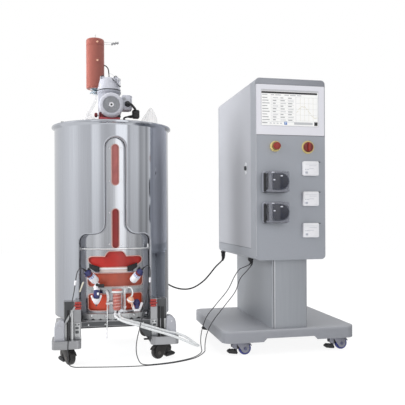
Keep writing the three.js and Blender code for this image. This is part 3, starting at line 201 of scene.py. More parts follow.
# Painted highlight: pale strips that stand for the light caught on rounded edges.
finish("lip", (0.50, 0.51, 0.54), 0.35, 0.4, 60, 0.04)
finish("plate_silver", (0.62, 0.63, 0.66), 0.3, 0.5, 60, 0.04)
# Painted light: a lighter copy of the cabinet paint for the side door, standing for the light on the
# cabinet's left side.
finish("lit_side_panel", (0.395, 0.405, 0.44), 0.45, 0.1, 260, 0.03, 0.05, 0.12, edge=2)
finish("bezel_edge", (0.60, 0.60, 0.64), 0.4, 0.1, 60, 0.04, 0.05)
finish("pump_face", (0.33, 0.34, 0.385), 0.4, 0.2, 60, 0.06)
finish("soft_line", (0.58, 0.59, 0.64), 0.4, 0, 60, 0.03, 0.05)


def shade_by_height(name, stops):
    """Lets a finish change its colour with height: stops are (millimetres, colour), from the lowest."""
    tree = M[name].node_tree
    place = next(n for n in tree.nodes if n.type == "TEX_COORD")
    tint = next(n for n in tree.nodes if n.type == "VECT_MATH")
    split = add(tree, "SeparateXYZ", {0: place.outputs["Object"]})
    bottom, top = stops[0][0], stops[-1][0]
    height = add(tree, "MapRange",
                 {"Value": split.outputs["Z"], "From Min": bottom * MM, "From Max": top * MM})
    ramp = add(tree, "ValToRGB", {"Fac": height.outputs["Result"]})
    elements = ramp.color_ramp.elements
    for i, (z, colour) in enumerate(stops):
        share = (z - bottom) / (top - bottom)
        stop = elements[0] if i == 0 else elements[-1] if z == top else elements.new(share)
        stop.position, stop.color = share, (*colour, 1)
    fill(tree, tint, {0: ramp.outputs["Color"]})


AMBER, PORT_RED, DOME_RED = (0.56, 0.055, 0.018), (0.42, 0.072, 0.036), (0.43, 0.012, 0.007)
DEEP_RED, ROSE = (0.25, 0.005, 0.004), (0.46, 0.13, 0.12)
# Painted light and shade on the platform: a darker copy of its steel on the skirt, a lighter one on the deck,
# as if lit from above.
SHADED_SKIRT, LIT_DECK = (0.30, 0.31, 0.34), (0.375, 0.385, 0.415)
shade_by_height("medium", [(280, AMBER), (385, AMBER), (416, PORT_RED), (490, PORT_RED), (520, DOME_RED),
                           (612, DOME_RED), (632, DEEP_RED), (850, DEEP_RED), (980, ROSE), (1210, ROSE)])
# The platform steps from painted shade on its skirt to a painted lit deck.
shade_by_height("platform", [(60, SHADED_SKIRT), (132, SHADED_SKIRT), (147, LIT_DECK), (200, LIT_DECK)])

# ------------------------------------------------------------------------ building pieces

def arc(cx, cy, radius, start, end, steps=8):
    """Points of a circular arc, angles in degrees."""
    angles = [math.radians(start + (end - start) * i / steps) for i in range(steps + 1)]
    return [(cx + radius * math.cos(a), cy + radius * math.sin(a)) for a in angles]


def rounded(x0, x1, y0, y1, r, steps=6):
    return (arc(x1 - r, y0 + r, r, -90, 0, steps) + arc(x1 - r, y1 - r, r, 0, 90, steps)
            + arc(x0 + r, y1 - r, r, 90, 180, steps) + arc(x0 + r, y0 + r, r, 180, 270, steps))


def ring_row(sides, spot):
    """Points round a circle, each from its angle's cosine and sine."""
    return [spot(math.cos(a), math.sin(a)) for a in (2 * math.pi * i / sides for i in range(sides))]


def disc(radius, bottom, top):
    """The profile of a plain cylinder."""
    return [(0, bottom), (radius, bottom), (radius, top), (0, top)]


def move(*point):
    return Matrix.Translation(Vector(point[0] if len(point) == 1 else point))


def turn(angle, about="Z"):
    return Matrix.Rotation(angle, 4, about)


def aim(point, direction):
    """A matrix that carries +Z at the origin to a direction at a point."""
    return move(point) @ Vector(UP).rotation_difference(Vector(direction).normalized()).to_matrix().to_4x4()


def spline(points, per=8):
    """A smooth curve through the points: centripetal Catmull-Rom."""
    p = [Vector(q) for q in points]
    p = [2 * p[0] - p[1]] + p + [2 * p[-1] - p[-2]]
    out = []
    for a, b, c, d in zip(p, p[1:], p[2:], p[3:]):
        ta, tb, tc = (max((v - u).length ** 0.5, 1e-4) for u, v in ((a, b), (b, c), (c, d)))
        m1 = tb * ((b - a) / ta - (c - a) / (ta + tb) + (c - b) / tb)
        m2 = tb * ((c - b) / tb - (d - b) / (tb + tc) + (d - c) / tc)
        for i in range(per):
            t = i / per
            out.append(b + m1 * t + (3 * (c - b) - 2 * m1 - m2) * t ** 2 + (2 * (b - c) + m1 + m2) * t ** 3)
    return out + [p[-2].copy()]


def join(part, a, b, closed=True):
    """Faces between two rows of vertices."""
    for i in range(len(a) if closed else len(a) - 1):
        j = (i + 1) % len(a)
        part.faces.new((a[i], a[j], b[j], b[i]))


def cube(lo, hi):
    part = bmesh.new()
    bmesh.ops.create_cube(part, size=1)
    bmesh.ops.scale(part, vec=[abs(h - l) for l, h in zip(lo, hi)], verts=part.verts)
    bmesh.ops.translate(part, vec=[(l + h) / 2 for l, h in zip(lo, hi)], verts=part.verts)
    return part


def bevel(part, edges, size, steps):
    bmesh.ops.bevel(part, geom=edges, offset=size, segments=steps, profile=0.5, affect="EDGES")


class Piece:
    """One object, built up from solids in millimetres about an origin."""

    def __init__(self, name, origin=TANK):
        self.name, self.origin, self.mats, self.bm = name, origin, [], bmesh.new()

    def take(self, part, mat, matrix=None, tidy=True):
        if mat not in self.mats:
            self.mats.append(mat)
        if matrix is not None:
            bmesh.ops.transform(part, matrix=matrix, verts=part.verts)
        if tidy:
            bmesh.ops.recalc_face_normals(part, faces=part.faces)
        for face in part.faces:
            face.material_index = self.mats.index(mat)
        mesh = bpy.data.meshes.new("part")
        part.to_mesh(mesh)
        part.free()
        self.bm.from_mesh(mesh)
        bpy.data.meshes.remove(mesh)
        return self

    def turned(self, profile, mat, at=(0, 0, 0), axis=UP, sides=48, ring=False):
        """A profile of (radius, height) points turned about an axis."""
        part = bmesh.new()
        turns = [2 * math.pi * i / sides for i in range(sides)]
        loops = [[part.verts.new((r * math.cos(t), r * math.sin(t), h)) for t in (turns if r > 1e-6 else [0])]
                 for r, h in profile]
        for a, b in zip(loops, loops[1:] + loops[:1] * ring):
            for i in range(sides):
                j = (i + 1) % sides
                if len(a) == 1 < len(b):
                    part.faces.new((a[0], b[i], b[j]))
                elif len(b) == 1 < len(a):
                    part.faces.new((a[i], a[j], b[0]))
                elif len(a) > 1:
                    part.faces.new((a[i], a[j], b[j], b[i]))
        return self.take(part, mat, aim(at, axis))

    def block(self, lo, hi, mat, edge=1.5, steps=3, matrix=None):
        part = cube(lo, hi)
        if edge:
            bevel(part, part.edges[:], min(edge, min(abs(h - l) for l, h in zip(lo, hi)) * 0.49), steps)
        return self.take(part, mat, matrix)

    def ribs(self, count, lo, hi, mat, edge, steps, place, about="Z", start=0.0):
        """Blocks set round an axis of a place."""
        for k in range(count):
            self.block(lo, hi, mat, edge, steps, place @ turn(start + 2 * math.pi * k / count, about))

    def prism(self, outline, axis, start, end, mat, edge=0.0, steps=2, matrix=None):
        """An outline in the plane across 'x', 'y' or 'z', drawn out along it."""
        part = bmesh.new()
        order = {"x": (2, 0, 1), "y": (0, 2, 1), "z": (0, 1, 2)}[axis]
        near, far = ([part.verts.new([(a, b, c)[i] for i in order]) for a, b in outline]
                     for c in (start, end))
        caps = [part.faces.new(near[::-1]), part.faces.new(far)]
        join(part, near, far)
        if edge:
            bmesh.ops.recalc_face_normals(part, faces=part.faces)
            bevel(part, [e for face in caps for e in face.edges], edge, steps)
        return self.take(part, mat, matrix)

    def loops(self, rows, mat, closed=True, capped=False):
        """A skin through rows of points, each row joined to the next."""
        part = bmesh.new()
        made = [[part.verts.new(p) for p in row] for row in rows]
        for a, b in zip(made, made[1:]):
            join(part, a, b, closed)
        if capped:
            part.faces.new(made[0][::-1])
            part.faces.new(made[-1])
        return self.take(part, mat)

    def pipe(self, points, radius, mat, sides=12):
        """A round tube along the points; radius is one number or one for each point."""
        points = [Vector(p) for p in points]
        radii = radius if isinstance(radius, list) else [radius] * len(points)
        turns = [2 * math.pi * k / sides for k in range(sides)]
        rows, side = [], None
        for i, (p, r) in enumerate(zip(points, radii)):
            ahead = (points[min(i + 1, len(points) - 1)] - points[max(i - 1, 0)]).normalized()
            side = side - ahead * side.dot(ahead) if side else ahead.orthogonal()
            side.normalize()
            other = ahead.cross(side)
            rows.append([p + r * (math.cos(t) * side + math.sin(t) * other) for t in turns])
        return self.loops(rows, mat, capped=True)

    def shell(self, outside, inside, mat):
        """A closed pan: rows up its outside and down its inside, capped above and joined at the rim."""
        part = bmesh.new()
        made = [[part.verts.new(p) for p in row] for row in outside + inside]
        for a, b in zip(made, made[1:] + made[:1]):
            if b is made[len(outside)]:
                part.faces.new(a)
                part.faces.new(b[::-1])
            else:
                join(part, a, b)
        return self.take(part, mat)

    def wrap(self, x0, x1, bottom, top, inner, outer, mat, steps=24):
        """A plate bent round the tank's front; its edges are heights or functions of x."""
        rows = []
        for i in range(steps + 1):
            x = x0 + (x1 - x0) * i / steps
            foot, head = (edge(x) if callable(edge) else edge for edge in (bottom, top))
            rows.append([at(inner, x, foot), at(outer, x, foot), at(outer, x, head), at(inner, x, head)])
        return self.loops(rows, mat, capped=True)

    def head(self, spot, direction, radius, rise, mat="screw"):
        """A low domed screw head."""
        return self.turned([(0, rise), (radius * 0.6, rise * 0.9), (radius, rise * 0.35), (radius, -0.6)],
                           mat, spot, direction, 14)

    def mesh(self):
        mesh = bpy.data.meshes.new(self.name)
        self.bm.to_mesh(mesh)
        self.bm.free()
        for mat in self.mats:
            mesh.materials.append(M[mat])
        obj = bpy.data.objects.new(self.name, mesh)
        bpy.context.scene.collection.objects.link(obj)
        return obj

    def done(self, slot, stands_for=None, angle=35.0, body=ROOT):
        bmesh.ops.scale(self.bm, vec=(MM,) * 3, verts=self.bm.verts)
        bmesh.ops.translate(self.bm, vec=self.origin, verts=self.bm.verts)
        obj = self.mesh()
        obj.data.polygons.foreach_set("use_smooth", [True] * len(obj.data.polygons))
        obj.data.set_sharp_from_angle(angle=math.radians(angle))
        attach(obj, body)
        if stands_for:
            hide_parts(stands_for)
        return obj


def carve(piece, tools):
    """Cuts closed tool pieces out of a piece under construction."""
    work, *cutters = [solid.mesh() for solid in (piece, *tools)]
    for cutter in cutters:
        step = work.modifiers.new("cut", "BOOLEAN")
        step.operation, step.solver, step.object = "DIFFERENCE", "EXACT", cutter
    shown = work.evaluated_get(bpy.context.evaluated_depsgraph_get())
    cut = bpy.data.meshes.new_from_object(shown)
    piece.bm = bmesh.new()
    piece.bm.from_mesh(cut)
    for mesh in (cut, *(obj.data for obj in (work, *cutters))):
        bpy.data.meshes.remove(mesh)


# --------------------------------------------------------------------- camera and cords

CAMERA_AT = TANK + Vector((-206, -3513, 826)) * MM
VIEW_TURN, ROLL = math.radians(12.35), math.radians(0.26)
camera_data = bpy.data.cameras.new("camera")
camera_data.lens = 50.67
camera_data.shift_y = 0.025
camera_data.clip_end = 60.0
camera = bpy.data.objects.new("camera", camera_data)
camera.matrix_world = (Matrix.Translation(CAMERA_AT) @ turn(-VIEW_TURN)
                       @ turn(math.radians(90), "X") @ turn(-ROLL))
bpy.context.scene.collection.objects.link(camera)
bpy.context.scene.camera = camera

ROUTES = {
    "power_cable": [
        (812, 447, 511.7), (812, 447, 502), (808, 445.5, 491), (796, 441, 478), (749, 424, 440),
        (700, 406, 389), (657, 390, 350), (598, 368, 316), (555, 352, 303), (511, 336, 301),
        (455, 315, 312), (398, 294, 338), (340, 272, 384), (290, 253, 446), (258, 238, 510),
        (235, 257, 570), (205, 282, 660), (175, 301, 770), (150, 314, 890), (132, 322, 1010),
        (123, 326, 1130), (120, 329, 1230), (121, 339, 1290), (123, 348, 1322), (125, 343, 1352),
        (127, 322, 1373), (127, 290, 1381), (125, 240, 1381), (121, 180, 1378), (118, 110, 1375),
        (117, 40, 1374), (110, -10, 1375), (96, -48, 1377), (76, -80, 1380), (64, -108, 1384),
        (68, -134, 1388), (86, -147, 1391), (107.1, -150, 1392)],
    "probe_cable_right": [
        (813, -208, 529.7), (812, -208, 516), (790, -208, 503), (745, -206, 484), (717, -203, 446),
        (674, -195, 361), (605, -185, 276), (548, -172, 200), (522, -160, 122), (515, -152, 57),
        (518, -158, 10), (514, -190, 4.2), (483, -267, 3.2), (428, -339, 3.2), (350, -388, 3.2),
        (276, -416, 3.2), (200, -430, 3.2), (150, -432, 4.2), (124, -424, 12), (106, -410, 48),
        (102, -402, 90), (108, -400, 140), (119, -399, 186), (129, -397, 226), (146, -388, 300),
        (160, -378, 352), (175, -369, 410), (183, -365, 455), (186, -365, 500), (181, -368, 526),
        (169, -371, 535), (155, -366, 528), (141.4, -354.2, 512.6)],
    "probe_cable_left": [
        (823, -208, 529.7), (822, -208, 512), (797, -207, 480), (747, -206, 425), (720, -203, 353),
        (650, -197, 262), (578, -188, 168), (549, -178, 103), (539, -168, 40), (536, -175, 8),
        (528, -208, 4.2), (494, -275, 3.2), (438, -350, 3.2), (356, -402, 3.2), (280, -430, 3.2),
        (200, -444, 3.2), (140, -447, 3.2), (60, -444, 3.2), (12, -438, 3.2), (-93, -420, 3.2),
        (-180, -402, 3.2), (-228, -393, 4.2), (-252, -387, 14), (-260, -382, 48), (-261, -379, 90),
        (-259, -376, 142), (-257, -369, 210), (-252, -363, 270), (-243, -360, 325), (-229, -359, 392),
        (-220, -360, 450), (-214, -364, 490), (-206, -370, 516), (-193, -375, 529), (-179, -372, 527),
        (-165.2, -360.2, 513.4)],
    "transfer_hose": [
        (16, -329.3, 274.6), (16, -329.3, 264), (23, -337, 250), (43, -348, 240), (70, -352, 231),
        (129, -352, 214), (200, -350, 190), (269, -347, 166), (330, -349, 150), (385, -350, 126),
        (425, -353, 98), (447, -366, 83), (452, -384, 80), (440, -402, 86), (410, -409, 99),
        (370, -407, 118), (330, -403, 136), (269, -397, 158), (200, -391, 180), (129, -385, 204),
        (70, -377, 222), (32, -362, 234), (7, -348, 246), (-6, -334, 258), (-6, -329.3, 266),
        (-6, -329.3, 274.6)],
    "sample_tube": [
        (-49, -329.3, 317.6), (-49, -329.6, 308), (-49, -332, 296), (-49, -336, 282), (-49, -341, 268),
        (-50, -344, 254), (-50, -345, 240), (-50, -345, 226), (-51, -345, 212), (-51, -345, 198),
        (-51, -344, 184), (-52, -344, 172), (-52, -344, 160), (-53, -344, 149), (-53, -344, 138)],
}


def add_cord(name, diameter, mat, slot, sides=12):
    path = spline(ROUTES[name], 6)
    obj = Piece(name + "_cord").pipe(path, diameter / 2, mat, sides).done(slot, name)
    points = [TANK + p * MM for p in path]
    length = sum((b - a).length for a, b in zip(points, points[1:]))
    tuple(points[0])
    [tuple(p) for p in points]


add_cord("power_cable", 10, "sheath", "cable_black")
add_cord("probe_cable_right", 5, "thin_sheath", "cable_black")
add_cord("probe_cable_left", 5, "thin_sheath", "cable_black")
add_cord("transfer_hose", 14, "milky", "hose_clear", 16)
add_cord("sample_tube", 5, "milky", "hose_clear")


# ----------------------------------------------------------------- shapes round the tank

TANK_LOW, TANK_HIGH = corners("tank_jacket", TANK)
TANK_FOOT, RIM_TOP, RIM_R = TANK_LOW.z, TANK_HIGH.z, TANK_HIGH.x
TANK_R = RIM_R - 16
LINER_R, BAG_R = 300.0, 294.0
SHEET = 3                                # thickness of the jacket's and the liner's steel
LIP = 7                                  # width of the opening's rolled lip


def front(radius, x):
    """Depth of an upright cylinder's front at x."""
    return -math.sqrt(max(radius * radius - x * x, 0.0))


def at(radius, x, z):
    return Vector((x, front(radius, x), z))


def cutout(margin):
    """The T-shaped opening's edge, grown by a margin, from one foot over the slot to the other."""
    slot, wide, wide_top = 58 + margin, 197 + margin, 709 + margin
    corner, fillet, crown = 40 + margin, 62 - margin, 1190
    run = corner - wide, -slot - fillet
    left = [(-wide, TANK_FOOT)] + arc(corner - wide, wide_top - corner, corner, 180, 90, 8)
    left += [(run[0] + (run[1] - run[0]) * i / 4, wide_top) for i in (1, 2, 3)]
    left += arc(-slot - fillet, wide_top + fillet, fillet, -90, 0, 8) + arc(0, crown, slot, 180, 90, 12)
    return left + [(-x, z) for x, z in reversed(left[:-1])]


def open_skin(outline, radius, thick, bottom, top, levels, sides=200):
    """A sheet cylinder, open below an outline across its front."""
    part = bmesh.new()
    edge = {}
    for x, z in outline:
        edge.setdefault(round(x, 3), []).append(z)
    columns = [(math.asin(x / radius), x) for x in sorted(edge)]
    start = columns[-1][0]
    back = 2 * math.pi - 2 * start
    steps = int(sides * back / (2 * math.pi))
    columns += [(start + back * i / steps, None) for i in range(1, steps)]
    levels = levels + [top]
    made = {}

    def vert(i, z):
        if (i, z) not in made:
            angle = columns[i][0]
            made[i, z] = part.verts.new((radius * math.sin(angle), -radius * math.cos(angle), z))
        return made[i, z]

    def foot(i, rightwards):
        x = columns[i][1]
        if x is None:
            return bottom
        return max(edge[x]) if (x < 0) == rightwards else min(edge[x])

    for i in range(len(columns)):
        j = (i + 1) % len(columns)
        feet = foot(i, True), foot(j, False)
        common = [z for z in levels if z > max(feet) + 0.01]
        for z0, z1 in zip(common, common[1:]):
            part.faces.new((vert(i, z0), vert(j, z0), vert(j, z1), vert(i, z1)))
        near, far = ([f] + [z for z in levels if f + 0.01 < z <= common[0]] for f in feet)
        part.faces.new([vert(i, z) for z in reversed(near)] + [vert(j, z) for z in far])
    bmesh.ops.recalc_face_normals(part, faces=part.faces)
    outside = list(part.faces)
    rims = [e for e in part.edges if len(e.link_faces) == 1]
    shrink = (radius - thick) / radius
    inner = {v: part.verts.new((v.co.x * shrink, v.co.y * shrink, v.co.z)) for v in list(part.verts)}
    for face in outside:
        part.faces.new([inner[v] for v in reversed(face.verts)])
    for e in rims:
        a, b = e.verts
        part.faces.new((a, b, inner[b], inner[a]))
    return part


def on_skin(shape, rows):
    """Rows of points that carry a shape, grown by margins, onto cylinders: rows are (margin, radius)."""
    return [[at(r, x, z) for x, z in shape(margin)] for margin, r in rows]


def grown(outline, margin):
    """A closed outline moved outwards by a margin."""
    area = sum(a[0] * b[1] - b[0] * a[1] for a, b in zip(outline, outline[1:] + outline[:1]))
    sign = 1 if area > 0 else -1
    out = []
    for i, p in enumerate(outline):
        run = (Vector(outline[(i + 1) % len(outline)]) - Vector(outline[i - 1])).normalized()
        out.append((p[0] + run.y * margin * sign, p[1] - run.x * margin * sign))
    return out


def dense(outline, step=12.0):
    """A closed outline with extra points on its long runs."""
    out = []
    for a, b in zip(outline, outline[1:] + outline[:1]):
        a, b = Vector(a), Vector(b)
        count = max(1, int((b - a).length / step))
        out += [tuple(a + (b - a) * i / count) for i in range(count)]
    return out


def bezier(p, q, r, steps=6):
    return [tuple((1 - t) ** 2 * a + 2 * t * (1 - t) * b + t * t * c for a, b, c in zip(p, q, r))
            for t in (i / steps for i in range(1, steps + 1))]


def dome_outline():
    """The wide window over the ports, with its raised crown, from its right foot."""
    right = ([(89, 525)] + bezier((89, 525), (151, 541), (147, 567.5))
             + bezier((147, 567.5), (143, 582), (123, 582)) + [(90, 582), (58, 582)]
             + bezier((58, 582), (44, 611), (30, 611)))
    return right + [(-x, z) for x, z in reversed(right)]


SLOTS = [(-17.5, 17.5, 984, 1208), (-17.5, 17.5, 631, 848)]
WINDOWS = [rounded(*s, 17.4, 8) for s in SLOTS] + [
    dome_outline(), rounded(-150, 150, 418, 489, 16, 8),
    rounded(-148, -42, 284, 373, 14, 8), rounded(42, 148, 284, 373, 14, 8)]

# ---------------------------------------------------------------------------- the vessel

skin_top = RIM_TOP - 26
jacket = Piece("jacket_skin")
jacket.take(open_skin(cutout(LIP), TANK_R, SHEET, TANK_FOOT, skin_top, list(range(300, 1301, 100))), "tank",
            tidy=False)
jacket.turned([(TANK_R - SHEET, skin_top - 2), (TANK_R, skin_top), (TANK_R + 2, skin_top + 3),
               (RIM_R - 5, RIM_TOP - 16), (RIM_R - 1, RIM_TOP - 13), (RIM_R, RIM_TOP - 9),
               (RIM_R, RIM_TOP - 5), (RIM_R - 2, RIM_TOP - 1.5), (RIM_R - 6, RIM_TOP), (303, RIM_TOP),
               (LINER_R + GAP, RIM_TOP - 2), (LINER_R + GAP, RIM_TOP - 3), (TANK_R - SHEET, RIM_TOP - 3)],
              "tank", sides=200, ring=True)
# The 'edge' rows line the gap between jacket and liner near-black: painted shade in the gap.
for mat, lip in (
        ("tank", [(LIP, TANK_R), (4.6, TANK_R - 0.4), (2.6, TANK_R - 1.6), (1.0, TANK_R - 3.6),
                  (0.2, TANK_R - 6.2)]),
        ("flange", [(0.2, TANK_R - 6.2), (0, TANK_R - 9), (0, LINER_R + 3)]),
        ("edge", [(0, LINER_R + 3), (-3.4, LINER_R + 1.6), (-3.4, LINER_R + GAP), (3, LINER_R + GAP),
                  (3, TANK_R - 9)])):
    jacket.loops(on_skin(cutout, lip), mat, closed=False)
RAIL_Z, RAIL_R = 627.0, 318.0
turn_in = math.asin(197.0 / RAIL_R)


def on_rail(share):
    """A point of the rail, in shares of its half length."""
    return at(RAIL_R, RAIL_R * math.sin(turn_in * share), RAIL_Z)


jacket.pipe([on_rail(i / 20 - 1) for i in range(41)], 5.2, "rod", 14)
post = on_rail(0.93)
jacket.pipe([post, post + Vector((0, 0, 18)), post + Vector((0, -1, 25))], [5, 5, 3.4], "rod")
for side in (-1, 1):
    jacket.turned([(0, -9), (8.5, -9), (9.5, -7), (9.5, 7), (8.5, 9), (0, 9)], "steel", on_rail(side * 0.985),
                  (side * 0.85, 0.55, 0), 16)
jacket.done("jacket_steel", "tank_jacket", 32)

FLOOR_Z, SKIRT_Z = 262, 236              # top of the liner's floor, foot of its skirt
liner = Piece("liner_wall")
liner.turned([(LINER_R - SHEET, FLOOR_Z), (LINER_R, FLOOR_Z), (LINER_R, RIM_TOP - 3),
              (LINER_R - SHEET, RIM_TOP - 3)], "liner", sides=160, ring=True)
carve(liner, [Piece("cutter").prism(w, "y", -500, 0, "edge") for w in WINDOWS])
liner.turned([(0, FLOOR_Z), (LINER_R, FLOOR_Z), (LINER_R, SKIRT_Z), (LINER_R - SHEET, SKIRT_Z),
              (LINER_R - SHEET, FLOOR_Z - SHEET), (0, FLOOR_Z - SHEET)], "liner", sides=96)
liner.done("jacket_steel", "tank_liner", 30)

gaskets = Piece("window_gaskets")
for line in map(dense, WINDOWS):
    gaskets.loops(on_skin(lambda margin: grown(line, margin), [
        (0.0, LINER_R - 2.6), (0.0, LINER_R + 1.6), (1.0, LINER_R + 2.2), (4.0, LINER_R + 2.2),
        (5.0, LINER_R + 1.4), (5.0, LINER_R + 0.2)]), "film_edge")
for x0, x1, z0, z1 in SLOTS:
    for x, z in ((x0 - 16, z0 + 20), (x1 + 16, z0 + 20), (x0 - 16, z1 - 20), (x1 + 16, z1 - 20)):
        spot = at(LINER_R, x, z)
        gaskets.head(spot, (x, spot.y, 0), 4.5, 3)
gaskets.done("bright_rod")

FLANGE_R = LINER_R + 28
trim = Piece("tank_trim")
trim.wrap(-152, 152, 402, 415, LINER_R + GAP, LINER_R + 15, "steel", 32)
trim.wrap(-152, 152, 399, 402, LINER_R + 12, LINER_R + 15, "steel", 32)
rows = []
for i in range(241):
    angle = math.radians(-60 + 120 * i / 240)
    foot_z = 244 - 9 * abs(math.sin(angle * 24)) ** 0.7
    rows.append([(r * math.sin(angle), -r * math.cos(angle), z) for r, z in
                 ((LINER_R, foot_z + 6), (FLANGE_R, foot_z), (FLANGE_R, 268), (LINER_R, 272))])
trim.loops(rows, "steel", capped=True)
for i in range(-3, 4):
    angle = math.radians(i * 14 + 4)
    spot = (FLANGE_R * math.sin(angle), -FLANGE_R * math.cos(angle), 256)
    trim.head(spot, (*spot[:2], 0), 7, 5)
trim.done("jacket_steel")


# The film bag: red medium behind the windows, then slack film above the rim.
bag = Piece("media_bag_body")
rows = []
for z in [266, 268, 274, 286] + [300 + 15 * i for i in range(67)] + [1298, 1304, 1308]:
    inset = max(0.0, 1 - (z - 266) / 20) ** 2 * 20 + max(0.0, (z - 1290) / 18) ** 2 * 40

    def ripple(u, v):
        r = BAG_R - inset + noise.noise(Vector((u * 4, v * 4, z * 0.012))) * 1.8
        return r * u, r * v, z

    rows.append(ring_row(120, ripple))
bag.loops(rows, "medium", capped=True)
bag.done("media_film", "media_bag", 40)


def crumple(name, centre, size, peak, ridge, amount, rings=40, sides=72):
    """A slack dome of clear film: lobes and sharp folds that run up to its peak."""
    rows = []
    for t in (k / rings for k in range(rings)):
        def spot(u, v):
            fold = 1 - abs(noise.noise(Vector((u * ridge, v * ridge, t * 1.3 + size[0] * 0.01)))) * 2
            fine = noise.noise(Vector((u * ridge * 3, v * ridge * 3, t * 6)))
            r = (1 - t ** 1.5) ** 0.75 * (1 + amount * (fold - 0.6) + 0.06 * fine)
            return (centre[0] + size[0] * r * u + peak[0] * t ** 2,
                    centre[1] + size[1] * r * v + peak[1] * t ** 2,
                    centre[2] + size[2] * t + 6 * fine * t)
        rows.append(ring_row(sides, spot))
    Piece(name).loops(rows, "film", capped=True).done("media_film", angle=60)


crumple("film_hump", (-150, 152, 1304), (92, 66, 150), (22, 0), 1.6, 0.30)
crumple("film_shoulder", (-60, 196, 1304), (70, 50, 130), (-10, 0), 1.9, 0.34)
crumple("film_tab", (212, -112, 1304), (58, 46, 152), (14, -6), 1.4, 0.42)
crumple("film_fold", (118, -40, 1304), (50, 60, 62), (0, 0), 1.8, 0.36)
rows = []
for r in range(290, 10, -20):
    def slack(u, v):
        return r * u, r * v, 1318 + 12 * noise.noise(Vector((u * r * 0.012, v * r * 0.012, 3.0)))

    rows.append(ring_row(96, slack))
rows += [[(x, y, z - 1) for x, y, z in row] for row in reversed(rows)]
Piece("film_cover").loops(rows, "film").done("media_film", angle=60)

# The drive over the rim.
DRIVE_X, DRIVE_Y, MOTOR_Z = -15.0, 20.0, 1445.0
BEAM_TOP = 1366.0
BASE_Z = BEAM_TOP + GAP

bridge = Piece("bridge_fittings")
bridge.block((-82, -192, BASE_Z), (-77.3, -68, 1409), "dark_red", 1)
bridge.block((-77, -190, 1378), (-58, -180.3, 1404), "dark_red")
bridge.block((-80, -194, BASE_Z), (36, -180.3, 1378), "pink")
bridge.block((-58, -192, 1379), (40, -180.3, 1390), "black")
for x in (-110, -60, 30, 60):
    bridge.head((x, -150, BEAM_TOP), UP, 7, 5)
for x in (-290, 290):
    for y in (-40, 80):
        bridge.head((x, y, 1360), UP, 9, 5)
        bridge.block((x - 16, y - 18, 1352), (x + 16, y + 18, 1360), "steel", 2)
bridge.done("bridge_black")

motor = Piece("motor_casting")
place = (DRIVE_X, -60, MOTOR_Z)
motor.turned([(0, 0), (66, 0), (70, 3), (70, 12), (66, 15), (65, 20), (65, 102), (69, 104), (70, 108),
              (70, 158), (68, 163), (63, 167.5), (56, 170), (50, 170), (48, 168), (48, 164), (0, 164)],
             "casting", place, OUT, 56)
for r in (15.5 + 5.4 * k for k in range(6)):
    motor.turned([(r, 163), (r, 167.4), (r + 0.7, 168), (r + 2.6, 168), (r + 3.2, 167.4), (r + 3.2, 163)],
                 "grille", place, OUT, 48, True)
motor.turned([(0, 166), (6, 166), (6, 169.4), (7, 170), (12.5, 170), (13.5, 168.6), (13.5, 163), (0, 163)],
             "white", place, OUT, 36)
motor.turned([(0, 170), (4.8, 170), (5.4, 168), (5.4, 165), (0, 165)], "black", place, OUT, 24)
motor.ribs(22, (-1.6, -160, 63), (1.6, -76, 69.4), "casting", 0.6, 1, move(DRIVE_X, 0, MOTOR_Z), "Y")
for angle in (math.radians(45 + 90 * k) for k in range(4)):
    motor.head((DRIVE_X + 60 * math.cos(angle), -228.5, MOTOR_Z + 60 * math.sin(angle)), OUT, 3.2, 2)
motor.done("motor_casting", "motor_housing", 30)

gear = Piece("gearbox_casting")
column = Vector((DRIVE_X, DRIVE_Y, 0))
# The column and the neck onto the motor take the darker copy of the casting paint: painted shade under the
# cap.
gear.turned([(15, BASE_Z), (76, BASE_Z), (78, BASE_Z + 2), (78, BASE_Z + 14), (75, BASE_Z + 17),
             (68, BASE_Z + 20), (66, BASE_Z + 26), (66, 1540), (68, 1553), (71, 1556), (72, 1559),
             (72, 1568), (70, 1570)], "gear", column)
gear.turned([(70, 1570), (67.5, 1571), (67.5, 1574.5), (70, 1575.5)], "dark_metal", column)
gear.turned([(70, 1575.5), (71, 1578), (69, 1584), (66, 1594), (62, 1606), (59, 1622), (57, 1636),
             (54, 1643), (48, 1646), (15, 1646), (15, BASE_Z)], "casting", column)
gear.turned([(0, 1644), (26, 1644), (27, 1650), (24, 1654), (0, 1655)], "casting", column, UP, 32)
gear.turned([(0, 0), (56, 0), (60, 3), (60, 44), (58, 50), (58, 80), (0, 80)], "gear",
            (DRIVE_X, -59.7, MOTOR_Z), (0, 1, 0), 40)
for angle in (math.radians(22.5 + 45 * k) for k in range(8)):
    for r, z, mat in ((72, BASE_Z + 16, "screw"), (65, 1588, "casting")):
        gear.head(column + Vector((r * math.cos(angle), r * math.sin(angle), z)), UP, 4.5, 4, mat)
gear.ribs(12, (57, -1.5, 1590), (61.4, 1.5, 1622), "casting", 0.6, 1, move(column))
for x, y in ((-40, -30), (38, -34), (0, 50)):
    spot = column + Vector((x, y, 1648))
    gear.block((-15, -10, -10), (15, 10, 6), "casting", 4, 3, move(spot))
    gear.pipe([spot + Vector(p) for p in ((-11, -9, -4), (-8, -11, 5), (0, -11, 9), (8, -11, 6))], 2.2,
              "dark_metal", 8)
clamp_at = column + Vector((50, -40, 1612))
gear.block((-7, -7, -14), (9, 7, 34), "casting", 3, 3, move(clamp_at))
gear.block((0, -9, 14), (17, 9, 30), "steel", 3, 3, move(clamp_at))
gear.pipe([clamp_at + Vector(p) for p in ((-34, -16, 26), (-12, -18, 4), (8, -14, -18))], 2.2,
          "dark_metal", 8)
gear.pipe([clamp_at + Vector(p) for p in ((10, -8, 26), (14, -10, 4), (12, -10, -14))], 2.4, "casting", 10)
gear.turned([(0, 0), (5, 0), (5, 6), (0, 7)], "dark_metal", clamp_at + Vector((12, -6, -18)),
            (0.3, -1, 0), 18)
